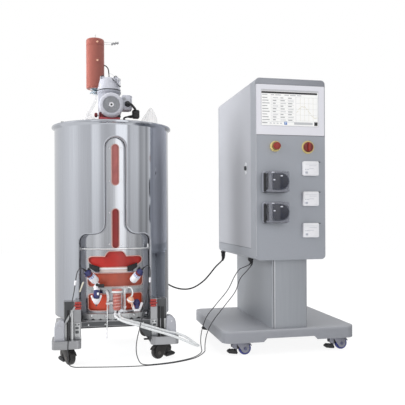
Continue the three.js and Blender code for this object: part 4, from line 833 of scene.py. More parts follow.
gear.pipe([column + Vector(p) for p in ((-6, -8, 1652), (2, -10, 1680), (22, -12, 1672), (34, -14, 1650))],
          1.4, "rod", 8)
gear.done("motor_casting", "gearbox", 30)

BOX_X = DRIVE_X + 63
term = Piece("terminal_casting")
term.block((BOX_X, -196, 1424), (BOX_X + 49, -112, 1510), "casting", 5, 4)
term.block((BOX_X + 48, -193, 1427), (BOX_X + 57, -115, 1507), "casting", 2.5)
term.block((BOX_X - 26, -182, 1440), (BOX_X + 2, -126, 1494), "casting", 3)
for y in (-186, -122):
    for z in (1434, 1500):
        term.head((BOX_X + 57, y, z), (1, 0, 0), 3.4, 2)
term.turned([(0, 0), (17, 0), (17, 4), (15, 6), (15, 12), (13, 16), (12, 22), (0, 22)], "black",
            (DRIVE_X + 94, -196, 1457), OUT, 20)
term.turned([(0, -1), (9, -1), (9, 1.6), (0, 1.6)], "grille", (BOX_X + 12, -196, 1486), OUT, 18)
term.done("motor_casting", "terminal_box")

plug = Piece("plug_and_lead")
px, py, pz = 130, -150, 1407
plug.block((px - 20, py - 18, pz - 26), (px + 21, py + 20, pz + 25), "black", 9, 5)
for y in (-18.6, 19.4):
    for z in (-14, 0, 14):
        plug.pipe([(px - 14 + 28 * t, py + y, pz + z + 3 * math.sin(3.1 * t))
                   for t in (0, 0.25, 0.5, 0.75, 1)], 2.2, "rubber_grey", 8)
for z in range(-18, 20, 8):
    plug.block((px - 21.5, py - 12, pz + z), (px + 22.2, py + 12, pz + z + 4), "rubber_grey", 1.2, 2)
plug.pipe(spline([(79, -218.8, 1457), (82, -230, 1455), (96, -229, 1449), (112, -204, 1440),
                  (124, -172, 1434), (129, -156, 1428)]), 7.2, "sheath", 14)
plug.done("black_plastic", "motor_plug")

knob_at = Vector((DRIVE_X - 76 - GAP, -168, 1392))
clamp = Piece("clamp_knob")
clamp.turned([(0, 0), (8, 0), (11, 2), (12.4, 5), (12.4, 12), (10.5, 16.5), (6, 18.4), (0, 18.6)], "dark_red",
             knob_at, (-1, 0, 0), 28)
clamp.ribs(6, (-15, -2.4, 9), (-3, 2.4, 13.4), "dark_red", 1.6, 2, move(knob_at), "X")
clamp.turned(disc(4, 0, 14), "screw", knob_at, (1, 0, 0), 14)
clamp.done("knob_red", "mount_knob", body="motor_clamp_knob")

# The vent filter in its heated sleeve.
FX, FY, FR = -94.0, 130.0, 56.0
FILTER_AT = (FX, FY, 0)
F_LOW, F_TOP = (v.z for v in corners("filter_jacket", TANK))
SEAMS = (F_TOP - 48, F_TOP - 165)
sleeve = Piece("filter_sleeve")
profile = [(14, F_LOW + 1), (FR - 9, F_LOW - 1), (FR - 3, F_LOW), (FR - 0.8, F_LOW + 3)]
for k in range(60):
    z = F_LOW + 5 + (F_TOP - 23 - F_LOW) * k / 59
    profile.append((FR - sum(1.6 * math.exp(-((z - seam) / 2.6) ** 2) for seam in SEAMS), z))
profile += [(FR - 1, F_TOP - 12), (FR - 3, F_TOP - 8), (FR - 9, F_TOP - 5), (FR - 20, F_TOP - 2), (24, F_TOP),
            (14, F_TOP), (14, F_TOP - 5), (FR - 5, F_TOP - 9), (FR - 5, F_LOW + 6), (14, F_LOW + 6)]
sleeve.turned(profile, "sleeve", FILTER_AT, UP, 64, True)
for z in SEAMS:
    sleeve.turned([(FR - 2, z - 1.4), (FR + 0.2, z - 1), (FR + 0.2, z + 1), (FR - 2, z + 1.4)], "seam",
                  FILTER_AT, UP, 64, True)
(x0, y0), (x1, y1) = ((FX + x, FY + front(FR + 0.8, x)) for x in (42, 44.2))
sleeve.loops([[(x, y, F_LOW + 6 + i * 11) for x, y in ((x0, y0), (x1, y1), (x1, y1 + 3), (x0, y0 + 3))]
              for i in range(27)], "seam", capped=True)
for z in (F_TOP - 32, F_TOP - 147):
    sleeve.turned([(0, 3.4), (3.6, 3), (6, 1.6), (6.4, -1), (0, -1)], "peach",
                  (FX + 12, FY + front(FR, 12), z), (12, front(FR, 12), 0), 18)
for z in (F_TOP - 18, F_TOP - 30):
    sleeve.pipe([(FX + FR - 3, FY, z), (FX + FR + 20, FY - 1, z - 1), (FX + FR + 46, FY, z)], 1.5, "milky", 8)
tag = move(FX + FR + 68, FY, F_TOP - 22) @ turn(math.radians(-14), "Y")
sleeve.block((-24, -3, -3), (24, 3, 3), "milky", 1.4, 2, tag)
for k in range(8):
    lift = (k % 3) * 2.4
    sleeve.block((-24 + 6 * k, -4.6, -9 + lift), (-20.6 + 6 * k, 4.6, 5 + lift), "tag", 1, 2, tag)
sleeve.pipe(spline([(-38.5, 130, 1757), (-30, 122, 1752), (-17, 92, 1728), (-14, 56, 1690), (-14, 36, 1664),
                    (-14, 30, 1648)]), 3.6, "sheath", 10)
sleeve.done("heater_red", "filter_jacket", 40)

capsule = Piece("filter_capsule_clear")
capsule.turned([(0, F_LOW - 33), (13, F_LOW - 33), (13.4, F_LOW - 12), (22, F_LOW - 8), (30, F_LOW - 3),
                (30, F_LOW), (0, F_LOW)], "ice", FILTER_AT, UP, 36)
capsule.turned([(0, F_LOW + 8), (50, F_LOW + 8), (50, F_TOP - 12), (0, F_TOP - 10)], "milky",
               FILTER_AT, UP, 36)
capsule.turned([(0, F_TOP - 8), (12, F_TOP - 6), (12, F_TOP + 3), (7, F_TOP + 5), (3.4, F_TOP + 7),
                (3.4, F_TOP + 17), (5, F_TOP + 18), (3.4, F_TOP + 20), (3.4, F_TOP + 25.6), (0, F_TOP + 26)],
               "milky", FILTER_AT, UP, 24)
line = spline([(-94, 130, 1574), (-94, 130, 1560), (-99, 131, 1530), (-122, 136, 1482), (-146, 142, 1440),
               (-152, 145, 1405)], 24)
capsule.pipe(line, [14 + 0.6 * math.sin(i * 1.55) for i in range(len(line))], "film", 20)
capsule.pipe([(FX - 34, FY - 16, 1574), (FX - 16, FY - 24, 1580), (FX + 20, FY - 22, 1590)], [4, 6, 4], "ice")
capsule.pipe([(FX - 22, FY - 26, 1601), (FX - 8, FY - 30, 1593), (FX + 22, FY - 24, 1587)], 3.2, "teal", 10)
capsule.done("clear_plastic", "filter_capsule", 40)

# Ports, probes and the drain under the bag.
ports = Piece("port_fittings")
ports.wrap(-91, 67, 496, 521, LINER_R + GAP, LINER_R + 6, "strip")
ports.wrap(-90, 66, 513, 519, LINER_R + 5.5, LINER_R + 7.5, "white")
for side in (-1, 1):
    near = -12 + side * 77
    x0, x1 = sorted((near, near + side * 56))
    for inset, inner, outer, mat, steps in ((0, GAP, 14, "black", 14), (6, 13, 16, "rubber", 10)):
        ports.wrap(x0 + inset, x1 - inset, lambda x: 500 + inset + max(0.0, (x - near) * side - 22) * 0.62,
                   lambda x: 528 - inset + min((x - near) * side, 56) * 0.3, LINER_R + inner, LINER_R + outer,
                   mat, steps)
ports.done("white_plastic", "port_strap")


def seat(piece, end, run):
    """The stub that joins a probe's end to the liner."""
    inward = Vector((-end.x, -end.y, 0)).normalized()
    piece.pipe([end + inward * -4 + run * 2, end + inward * 4], 8, "white", 16)


def probe(name, end, points, length, r, knob_turn):
    """A probe in its aseptic connector: white barrel, blue-grey sleeve, navy knob, black lever."""
    piece = Piece(name + "_connector")
    run = Vector(points).normalized()
    body = aim(end, run)
    knob = body @ turn(knob_turn)
    for profile, mat, sides in (
            ([(0, 0), (r - 5, 0), (r - 1, 2), (r + 1, 6), (r + 2, length * 0.12), (r + 2, length * 0.20),
              (r, length * 0.22), (r, length * 0.25), (r + 2, length * 0.27), (r + 2, length * 0.40),
              (r, length * 0.43), (0, length * 0.43)], "white", 32),
            ([(0, length * 0.42), (r - 1, length * 0.42), (r - 1.5, length * 0.60), (0, length * 0.60)],
             "tint_blue", 28),
            ([(0, length * 0.58), (r - 3, length * 0.58), (r - 1, length * 0.62), (r - 1, length * 0.70),
              (r - 5, length * 0.74), (0, length * 0.74)], "dark_red", 24),
            ([(0, length * 0.70), (r - 3, length * 0.70), (r - 2, length * 0.74), (r - 3, length * 0.88),
              (r * 0.5, length * 0.92), (r * 0.35, length), (0, length)], "navy", 24)):
        piece.turned(profile, mat, end, run, sides)
    piece.ribs(10, (r - 2.5, -1.6, length * 0.30), (r + 0.4, 1.6, length * 0.60), "white", 0.8, 1, body)
    for x0, x1, half, low, high, mat, edge in (
            (-r - 3, r + 3, 5, 0.72, 0.80, "navy", 2.5), (r - 8, r + 4, 4, 0.78, 0.98, "black", 2),
            (-r + 2, -r + 8, 3, 0.82, 0.96, "black", 2)):
        piece.block((x0, -half, length * low), (x1, half, length * high), mat, edge, 2, knob)
    seat(piece, end, run)
    piece.done("white_plastic", name)


probe("probe_upper_left", at(LINER_R + 20.7, -108, 448), (-61, -62, 70), 104, 20, 0.5)
probe("probe_upper_right", at(LINER_R + 17.9, 93, 446), (56, -58, 77), 96, 20, 2.4)

latch = Piece("probe_lower_left_connector")
end, run = at(LINER_R + 25.8, -103, 427), Vector((-6, -40, -95)).normalized()
eye, tilt = end + Vector((0, -19, 4)), (0, -1, 0.35)
latch.turned([(0, 0), (14, 0), (17, 2), (18.5, 6), (18.5, 16), (15, 20), (15, 30), (0, 30)], "white", end,
             run, 32)
latch.turned([(0, 28), (14, 28), (16.5, 32), (17.5, 44), (17.5, 66), (14, 74), (8, 80), (6, 92), (0, 92)],
             "navy", end, run, 28)
latch.turned([(9, 0), (13.5, 0), (13.5, 3.4), (9, 3.4)], "white", eye, tilt, 26, True)
latch.turned(disc(9, 0, 2), "black", eye, tilt, 20)
latch.block((4, -40, -10), (38, -22, 10), "black", 4, 3, move(end))
latch.block((-7, -4, 0), (7, 4, 16), "white", 3.5, 3, aim(end + Vector((3, -31, -36)), run))
seat(latch, end, run)
latch.done("white_plastic", "probe_lower_left")

cup = Piece("aseptic_cup")
cup_at = Vector((-108, -336, 338))
cup.turned([(0, -10), (10, -10), (15, -4), (20, 8), (23, 24), (21, 26), (18, 20), (14, 4), (0, 2)],
           "white", cup_at, (0.05, -0.2, 1), 36)
for side in (-1, 1):
    wing = move(cup_at + Vector((side * 21, -4, 22))) @ turn(side * 0.3, "Y")
    cup.block((-5, -7, -14), (5, 7, 18), "white", 4, 3, wing)
cup.turned(disc(5, 0, 4), "dark_metal", cup_at + Vector((0, -8, -16)), (0, -1, -0.4), 16)
cup.done("white_plastic")

cap = Piece("probe_lower_right_cap")
cap_at, run = Vector((114, -303, 336)), (2, -38, -50)
cap.turned([(0, 0), (14, 0), (16, 4), (17, 14), (17, 22), (15, 27), (12, 30), (12, 46), (9, 52), (0, 52)],
           "navy", cap_at, run, 28)
cap.ribs(9, (14, -1.6, 8), (18.4, 1.6, 28), "navy", 0.8, 1, aim(cap_at, run))
for side in (-1, 1):
    wing = move(cap_at + Vector((side * 22, -26, -30))) @ turn(side * 0.35, "Y")
    cap.block((-7, -6, -20), (7, 6, 22), "white", 4, 3, wing)
cap.block((-18, -36, -58), (18, -26, -44), "white", 4, 3, move(cap_at))
cap.done("probe_blue", "probe_lower_right")

drain = Piece("drain_line")
DRAIN_X, DRAIN_Y = 5.0, -329.3
DRAIN_AT = (DRAIN_X, DRAIN_Y, 0)
profile = ([(0, 289), (17, 289), (19, 292)]
           + [(22.2 + 1.7 * math.sin(k * 2 * math.pi / 5), 296 + (384 - 296) * k / 59) for k in range(60)]
           + [(24, 386), (28, 389), (29, 392), (29, 402), (27, 406), (0, 406)])
drain.turned(profile, "drain", DRAIN_AT, UP, 32)
# The helix is the hose's rib; its paler colour is a painted highlight along it.
drain.pipe([Vector((DRAIN_X + 23.6 * math.cos(t), DRAIN_Y + 23.6 * math.sin(t), 298 + 84 * t / 31.4))
            for t in (i * 0.25 for i in range(126))], 2.2, "drain_rib_highlight", 8)
drain.turned([(24.5, 386), (30, 386), (31, 389), (31, 394), (30, 397), (24.5, 397)], "milky", DRAIN_AT, UP,
             28, True)
for x in (DRAIN_X - 11, DRAIN_X + 11):
    drain.turned([(0, 275), (5, 275), (5.6, 277), (5.6, 282), (5, 284), (5, 296), (0, 296)], "milky",
                 (x, DRAIN_Y, 0), UP, 16)
drain.pipe([(-18, -330, 330), (-44, -329.3, 330), (-49, -329.3, 326), (-49, -329.3, 318)], 4, "milky")
drain.done("drain_film", "drain_tube", 40)

side_lines = Piece("side_lines")
for radius, mat, sides, route in (
        (8, "clear", 14, [(-52, -312, 398), (-50, -324, 392), (-45, -330, 376), (-44, -330, 350),
                          (-46, -330, 336)]),
        (6.5, "clear", 14, [(46, -308, 412), (46, -322, 404), (46, -328, 380), (47, -328, 330),
                            (46, -328, 280)]),
        (4.6, "milky", 12, [(66, -308, 410), (82, -322, 408), (90, -330, 392), (88, -334, 370),
                            (78, -336, 356)]),
        (3.8, "cream", 10, [(-176, -316, 448), (-184, -322, 430), (-192, -328, 408), (-196, -332, 396)])):
    side_lines.pipe(spline(route), radius, mat, sides)
side_lines.turned([(0, 0), (9.5, 0), (10.5, 2), (10.5, 9), (9, 11), (0, 11)], "milky",
                  (-46, -330, 322), UP, 20)
side_lines.turned([(6.6, 0), (9, 1), (9, 8), (6.6, 9)], "white", (47, -328, 300), UP, 20, True)
ball, tilt = Vector((78, -338, 344)), (0.35, -0.4, 1)
side_lines.turned([(0, -19), (10, -17), (17, -9), (19, -1), (19, 1), (17, 9), (10, 17), (0, 19)], "peach",
                  ball, tilt, 28)
side_lines.turned([(18.4, -3.5), (20.6, -3.5), (20.6, 3.5), (18.4, 3.5)], "white", ball, tilt, 28, True)
side_lines.pipe([ball + Vector(p) for p in ((4, 2, -14), (8, 0, -26), (8, 4, -40))], [6, 5, 4], "peach")
side_lines.done("hose_clear")

clips = Piece("cable_fittings")
for name, k in (("probe_cable_right", 27), ("probe_cable_left", 30)):
    route = [Vector(p) for p in ROUTES[name]]
    clips.turned([(2.8, -14), (4.6, -13), (5.4, -9), (5.4, 9), (4.6, 13), (2.8, 14)], "white", route[k],
                 route[k + 1] - route[k], 18, True)
    a, b = route[-1], route[-2]
    clips.pipe([a + (a - b).normalized() * 8, a, b], [7, 6, 3.2], "black", 14)
    a, b, c = route[:3]
    clips.pipe([a + (a - b).normalized() * 4, a, b, b + (c - b) * 0.4], [6.5, 6, 4.5, 3.2], "black", 14)
route = [Vector(p) for p in ROUTES["power_cable"]]
a, b, c = route[:3]
clips.pipe([a + Vector((0, 0, 6)), a, b, b + (c - b) * 0.9, b + (c - b) * 2.0], [13, 12.5, 11, 8.5, 6.2],
           "rubber", 18)
a, b = route[-1], route[-2]
clips.pipe([a + Vector((1, 0, 0)), a, a + (b - a) * 0.5, b], [10, 9.5, 8, 5.8], "rubber", 18)
hose = ROUTES["transfer_hose"]
for a, b in (hose[:2], hose[:-3:-1]):
    clips.pipe([a, b], 8.4, "white", 18)
tip = Vector(ROUTES["sample_tube"][-1])
clips.pipe([tip + Vector((0, 0, 62)), tip + Vector((0, 0, 48))], 4.2, "white")
clips.pipe([tip + Vector((0, 0, 2)), tip + Vector((0, 0, 34))], [3.8, 3.4], "white")
clips.done("black_plastic")

# ------------------------------------------------------------------------------ the stand

PAN_TOP, LEG_FACE = 137.0, -325.0
stand = Piece("stand_fittings")


def on_leg(side, x0, x1, z0, z1, rise, mat, edge=1.5):
    """A plate on the front of a leg, its x measured outwards from the tank's axis."""
    a, b = sorted((side * x0, side * x1))
    stand.block((a, LEG_FACE - rise, z0), (b, LEG_FACE - GAP, z1), mat, edge)


PAN = [(-21, 0), (27, 0), (27, 70), (24, 92), (14, 110), (0, 120), (-12, 122), (-24, 116), (-28, 100),
       (-28, 6)]
for side, bar, bar_r in ((-1, "rod", 8.5), (1, "black", 6)):
    on_leg(side, 229, 279, 232, 344.5, 4, "leg_plate")
    on_leg(side, 267, 282.6, PAN_TOP, 232, 3, "steel")
    on_leg(side, 250, 266, PAN_TOP, 300, 5, "black", 2)
    on_leg(side, 193, 227, PAN_TOP, 228, 6, "steel", 3)
    for x, z, w, h in ((212, 178, 9, 8), (212, 200, 9, 6), (203, 218, 4, 4), (219, 218, 4, 4)):
        on_leg(side, x - w, x + w, z - h, z + h, 7.2, "dark_metal", 2)
    stand.pipe([(side * 238, -334, PAN_TOP), (side * 238, -334, 300)], bar_r, bar, 20)
    stand.prism([(side * (305 + x), 127 + z) for x, z in PAN], "y", -352, -296, "cover", 5, 3)
    stand.turned(disc(3.4, 0, 5), "screw", (side * 305, -352, 220), OUT, 14)
    for y in (-200, 0, 200):
        stand.head((side * 283, y, 212), (side, 0, 0), 5, 3)
strap = [(-283, -336, 214), (-262, -338, 250), (-238, -337, 292), (-222, -336, 318)]
for p, q in zip(strap, strap[1:]):
    stand.pipe([p, q], 6.5, "steel", 8)
for x in (-150, -60, 60, 150):
    stand.head((x, LEG_FACE, 212), OUT, 5, 3)
stand.block((-190, -327.4, 196), (190, -325.2, 201), "black", 0.8)
stand.block((-188, -327, 204), (188, -325.2, 228), "bar_dark", 0.8)
stand.prism([(187, 196), (196, 196), (196, PAN_TOP), (190, 104), (178, 118), (120, 196)], "y",
            -333.4, -325.4 + GAP, "bar_dark", 1.5)
stand.block((150, -352, 120), (182, -334, 128), "black", 3, 2)
stand.done("frame_steel")

for side, word in ((-1, "left"), (1, "right")):
    x, y, z = side * 206, LEG_FACE - GAP, 323
    grip = Piece("hand_knob_" + word + "_grip")
    grip.turned([(0, 0), (15, 0), (17, 3), (16, 8), (0, 9)], "dark_red", (x, y, z), OUT, 28)
    for low, reach in ((z - 22, 17), (z - 7, 20), (z + 8, 18)):
        grip.block((x - reach, y - 21, low), (x + reach, y - 5, low + 12.4), "red", 6, 5)
    # Painted shade: the darker core shows in the gaps between the red bars.
    grip.block((x - 14, y - 18, z - 20), (x + 14, y - 4, z + 20), "dark_red", 3, 2)
    # Painted highlight: a small pink patch on the knob's front.
    grip.block((x + 4, y - 21.6, z + 3), (x + 13, y - 20, z + 7), "pink", 1.2, 2)
    grip.done("knob_red", "hand_knob_" + word, body="leg_knob_" + word)

# ---------------------------------------------------------------------------- the casters

TRAIL, WHEEL_R = 36.0, 37.5
FLOOR_ORIGIN = Vector((0, 0, 0))
CHEEK = ([(-18, 87), (-18, 72), (-4, 52)] + arc(TRAIL, WHEEL_R, 25, 200, 372, 10)
         + [(60, 62), (48, 80), (34, 87)])
HOOD = arc(TRAIL, WHEEL_R, 43, 20, 150, 10) + arc(TRAIL, WHEEL_R, 39.5, 150, 20, 10)
ARM = [(-14, 84), (-20, 78), (-24, 60), (-26, 34), (-18, 22), (-10, 26), (-12, 60), (-8, 78)]
SHOE = [(-8, 16), (-12, 26), (-30, 34), (-52, 34), (-66, 28), (-68, 20), (-60, 14), (-34, 10), (-12, 8)]
TREAD = [(-50, 33), (-62, 29), (-62, 31), (-50, 36.6)]
GUARD = [(-14, 86), (-34, 78), (-42, 60), (-40, 44), (-14, 36)]


def caster(name, tyre, metal, hub, fork_slot, wheel_slot):
    wheel_box = corners(name + "_wheel", FLOOR_ORIGIN)
    swivel = Vector(JOINTS[name + "_swivel_turn"]["pos_m"]) / MM
    ahead = (wheel_box[0] + wheel_box[1]) / 2 - swivel
    base = move(*swivel.xy, 0) @ turn(math.atan2(ahead.y, ahead.x))
    mount = corners(name + "_fork", FLOOR_ORIGIN)[1].z
    axle = base.to_3x3() @ Vector((0, 1, 0))
    centre = base @ Vector((TRAIL, 0, WHEEL_R))
    fork = Piece(name + "_fork_body", FLOOR_ORIGIN)
    for side in (-1, 1):
        fork.prism(CHEEK, "y", side * 17, side * 21, metal, 1, 2, base)
        fork.prism(GUARD, "y", side * 15.5, side * 19, metal, 1, 2, base)
        fork.turned([(0, 0), (10, 0), (10, 2), (7, 3), (6, 5), (0, 5)], hub,
                    base @ Vector((TRAIL, side * 21, WHEEL_R)), axle * side, 18)
    fork.prism(HOOD, "y", -19, 19, metal, 0.8, 1, base)
    fork.prism(rounded(-19, 30, -21, 21, 8), "z", 79, 88, metal, 1.5, 2, base)
    fork.turned([(0, 87), (24, 87), (25, 89), (25, 94), (22, 96), (16, 97), (15, 99), (15, mount - 2),
                 (14, mount), (0, mount)], metal, base.translation, UP, 32)
    fork.prism(ARM, "y", -9, 9, "black", 2, 2, base)
    fork.prism(SHOE, "y", -17, 17, "black", 3, 3, base)
    fork.prism(TREAD, "y", -15, 15, "rubber", 0.6, 1, base)
    fork.block((-30, -15, 36), (0, 15, 80), "black", 5, 3, base)
    fork.turned(disc(5, -17.4, 17.4), "screw", centre, axle, 16)
    fork.done(fork_slot, name + "_fork", body=name + "_swivel")
    wheel = Piece(name + "_wheel_body", FLOOR_ORIGIN)
    wheel.turned([(25, -14), (30, -15), (33.5, -14.4), (36.2, -11.5), (37.4, -6), (37.5, 0), (37.4, 6),
                  (36.2, 11.5), (33.5, 14.4), (30, 15), (25, 14)], tyre, centre, axle, 48, True)
    wheel.turned([(5.2, -14.6), (10, -14.6), (11, -12), (22, -9), (25.5, -13), (25.5, 13), (22, 9), (11, 12),
                  (10, 14.6), (5.2, 14.6)], hub, centre, axle, 40, True)
    wheel.ribs(5, (9, -2.4, -11.6), (24, 2.4, 11.6), hub, 1, 2, aim(centre, axle))
    wheel.done(wheel_slot, name + "_wheel", body=name + "_roller")


for corner in ("front_left", "front_right", "rear_left", "rear_right"):
    caster("stand_caster_" + corner, "rubber_grey", "fork_black", "hub_brown", "caster_dark", "wheel_black")
    caster("tower_caster_" + corner, "tyre_blue", "fork_grey", "hub", "caster_bright", "wheel_blue")

# ------------------------------------------------------------------------------ the tower

HALF, DEEP, T_LOW, T_TOP = 213.0, 877.0, 550.0, 1599.0     # cabinet: half width, depth, bottom, top
T_R, WALL = 24.0, 3                                        # rounding of its edges, thickness of its sheet
STOP_AT, SWITCH_AT = (-96, 0, 1206), (105, 0, 1205)


def rounded_box(lo, hi, r, steps=8):
    """A box with its four long edges rounded along y, and its rear edges rounded too."""
    part = cube(lo, hi)
    chosen = []
    for e in part.edges:
        a, b = (v.co for v in e.verts)
        if abs(a.y - b.y) > 1 or min(a.y, b.y) > hi[1] - 1 and abs(a.x - b.x) > 1:
            chosen.append(e)
    bevel(part, chosen, r, steps)
    return part


cabinet = Piece("cabinet_body", TOWER)
cabinet.take(rounded_box((-HALF, 0, T_LOW), (HALF, DEEP, T_TOP), T_R), "panel")
hollow, doorway, bore = (Piece("cutter", TOWER) for _ in range(3))
hollow.take(rounded_box((WALL - HALF, WALL, T_LOW + WALL), (HALF - WALL, DEEP - WALL, T_TOP - WALL),
                        T_R - WALL), "panel")
doorway.block((-HALF - 5, 93, 613), (-HALF + 12, 862.3, 1587), "panel", 0)
bore.turned(disc(11.3, -10, 60), "panel", (-96, 6, 1206), OUT, 32)
carve(cabinet, [hollow, doorway, bore])
cabinet.block((150, 60, 640), (HALF - 24, 820, 1560), "steel", 1)
for y0, y1, z0, z1, deep in ((100, 400, 1350, 1500, 80), (440, 760, 1350, 1500, 60),
                             (100, 300, 1050, 1250, 90), (340, 760, 1100, 1200, 50),
                             (120, 760, 760, 900, 70)):
    cabinet.block((151 - deep, y0, z0), (151, y1, z1), "casting", 4)
cabinet.turned([(31, -1), (31, 3), (30, 16), (28, 20), (25, 20), (25, 12), (12, 12), (12, -1)], "yellow",
               STOP_AT, OUT, ring=True)
cabinet.turned([(0, 0), (38, 0), (38, 4), (36, 6), (0, 6)], "yellow", SWITCH_AT, OUT, 56)
for x, y, deep in ((-192, 838, 38), (-190, 183, 20)):
    cabinet.turned([(0, 1), (16, 1), (16, -6), (14, -8), (14, 4 - deep), (10, -deep), (0, -deep)], "black",
                   (x, y, T_LOW), UP, 24)
    cabinet.ribs(6, (13, -5, -12), (16.4, 5, -2), "black", 1, 1, move(x, y, T_LOW))
cabinet.done("cabinet_grey", "cabinet_shell", 32)

fascia = Piece("cabinet_fascia", TOWER)
fascia.prism([(1 - HALF, 1563), (HALF - 1, 1563)] + arc(HALF - 24, T_TOP - 24.4, 23, 0, 90)
             + arc(24 - HALF, T_TOP - 24.4, 23, 90, 180), "y", -2.6, -GAP, "trim", 0.8)
# Painted highlight: a pale strip down the front's left edge, for the light on its rounded corner.
fascia.block((-HALF + 0.6, -1.6, 574), (-HALF + 4, -GAP, 1560), "lip", 0.5, 2)
for z in (1562, 1272):
    fascia.block((-HALF + 4, -1.2, z - 0.8), (HALF - 2, -GAP, z + 0.8), "ink", 0)
fascia.done("cabinet_grey")

BEZEL_FRONT = -3.3
bezel = Piece("bezel_frame", TOWER)
inner = rounded(-178, 169, 1327, 1531, 2, 3)
bezel.loops([[(x, BEZEL_FRONT + y, z) for x, z in grown(inner, m)]
             for m, y in ((0.3, -0.5), (1.5, -0.9), (4, -0.9), (5, 0.1))], "bezel_edge")
bezel.done("bezel_silver")

screen = Piece("screen_picture", TOWER)
S_X, S_Z, S_W, S_H = -178.0, 1327.0, 347.0, 204.0
FACE = BEZEL_FRONT - 0.6


def ui(u0, u1, v0, v1, mat, rise=0.15):
    """A thin patch on the screen, in shares of its width and of its height from the top."""
    screen.block((S_X + u0 * S_W, FACE - rise, S_Z + (1 - v1) * S_H),
                 (S_X + u1 * S_W, FACE + 0.2, S_Z + (1 - v0) * S_H), mat, 0)


screen.prism(rounded(S_X + 0.2, S_X + S_W - 0.2, S_Z + 0.2, S_Z + S_H - 0.2, 1.5, 3), "y", FACE, FACE + 2,
             "paper")
ui(0.0, 1.0, 0.0, 0.035, "line")
ui(0.0, 0.985, 0.045, 0.10, "ink", 0.2)
for u0, u1 in ((0.01, 0.10), (0.16, 0.22), (0.24, 0.34), (0.40, 0.48), (0.50, 0.60), (0.62, 0.70)):
    ui(u0, u1, 0.125, 0.15, "line")
for k in range(9):
    v = 0.21 + 0.078 * k
    ui(0.012, 0.10 + 0.02 * (k % 3), v, v + 0.02, "text")
    for c in range(3):
        u = 0.195 + 0.135 * c
        if (k + c) % 3:
            ui(u, u + 0.075 - 0.012 * ((k + 2 * c) % 3), v - 0.003, v + 0.02, "text")
        else:
            ui(u, u + 0.095, v, v + 0.018, "line")
        ui(u - 0.02, u + 0.105, v + 0.05, v + 0.056, "line", 0.1)
ui(0.165, 0.168, 0.17, 0.88, "line", 0.1)
for u in (0.60, 0.985):
    ui(u, u + 0.004, 0.17, 0.88, "line")
for v in (0.19 + 0.165 * k for k in range(5)):
    ui(0.604, 0.985, v, v + 0.004, "line", 0.1)
for u in (0.604 + 0.076 * k for k in range(1, 5)):
    ui(u, u + 0.003, 0.19, 0.85, "trace", 0.1)
for k in range(22):
    u, v = 0.61 + 0.017 * k, 0.60 - 0.16 * math.sin(k * 0.24) + 0.012 * math.sin(k * 2.1)
    ui(u, u + 0.018, v, v + 0.012, "trace", 0.2)
ui(0.0, 1.0, 0.895, 0.90, "line", 0.1)
ui(0.01, 0.10, 0.92, 0.945, "text")
for u in (0.14 + 0.06 * k for k in range(4)):
    ui(u, u + 0.035, 0.925, 0.95, "line")
ui(0.395, 0.445, 0.885, 0.975, "blue")
ui(0.405, 0.435, 0.905, 0.925, "tint", 0.2)
ui(0.405, 0.425, 0.94, 0.955, "tint", 0.2)
ui(0.57, 0.90, 0.895, 0.965, "line")
ui(0.93, 0.99, 0.88, 0.985, "rubber")
screen.done("screen_glass", "display_screen", 30)

stop = Piece("stop_mushroom", TOWER)
stop.turned([(0, 0), (10.6, 0), (10.6, 24), (14, 27), (19.5, 27), (21, 29), (21, 38), (19.6, 43), (15, 46.6),
             (8, 47.8), (0, 48)], "stop_red", STOP_AT, OUT, 40)
stop.done("knob_red", "stop_button", body="emergency_stop")

handle = Piece("switch_handle", TOWER)
spot = (105, -6.3, 1205)
handle.turned([(0, 0), (29, 0), (29, 8), (27, 11), (22, 12), (0, 12)], "switch_red", spot, OUT)
handle.ribs(18, (27.4, -9, -1.8), (29.6, -0.5, 1.8), "switch_red", 0.6, 1, move(spot), "Y")
handle.block((98.5, -32.3, 1181), (111.5, -17, 1229), "stop_red", 4, 4)
handle.done("knob_red", "switch_knob", body="main_switch")


def dee(left, right, half, z, steps=12):
    """A D-shaped outline: square at its left, round at its right."""
    r = min(half, right - left)
    square = [(left + 5, z + half), (left, z + half - 5), (left, z + 5 - half), (left + 5, z - half)]
    return arc(right - r, z, r, -90, 90, steps) + square


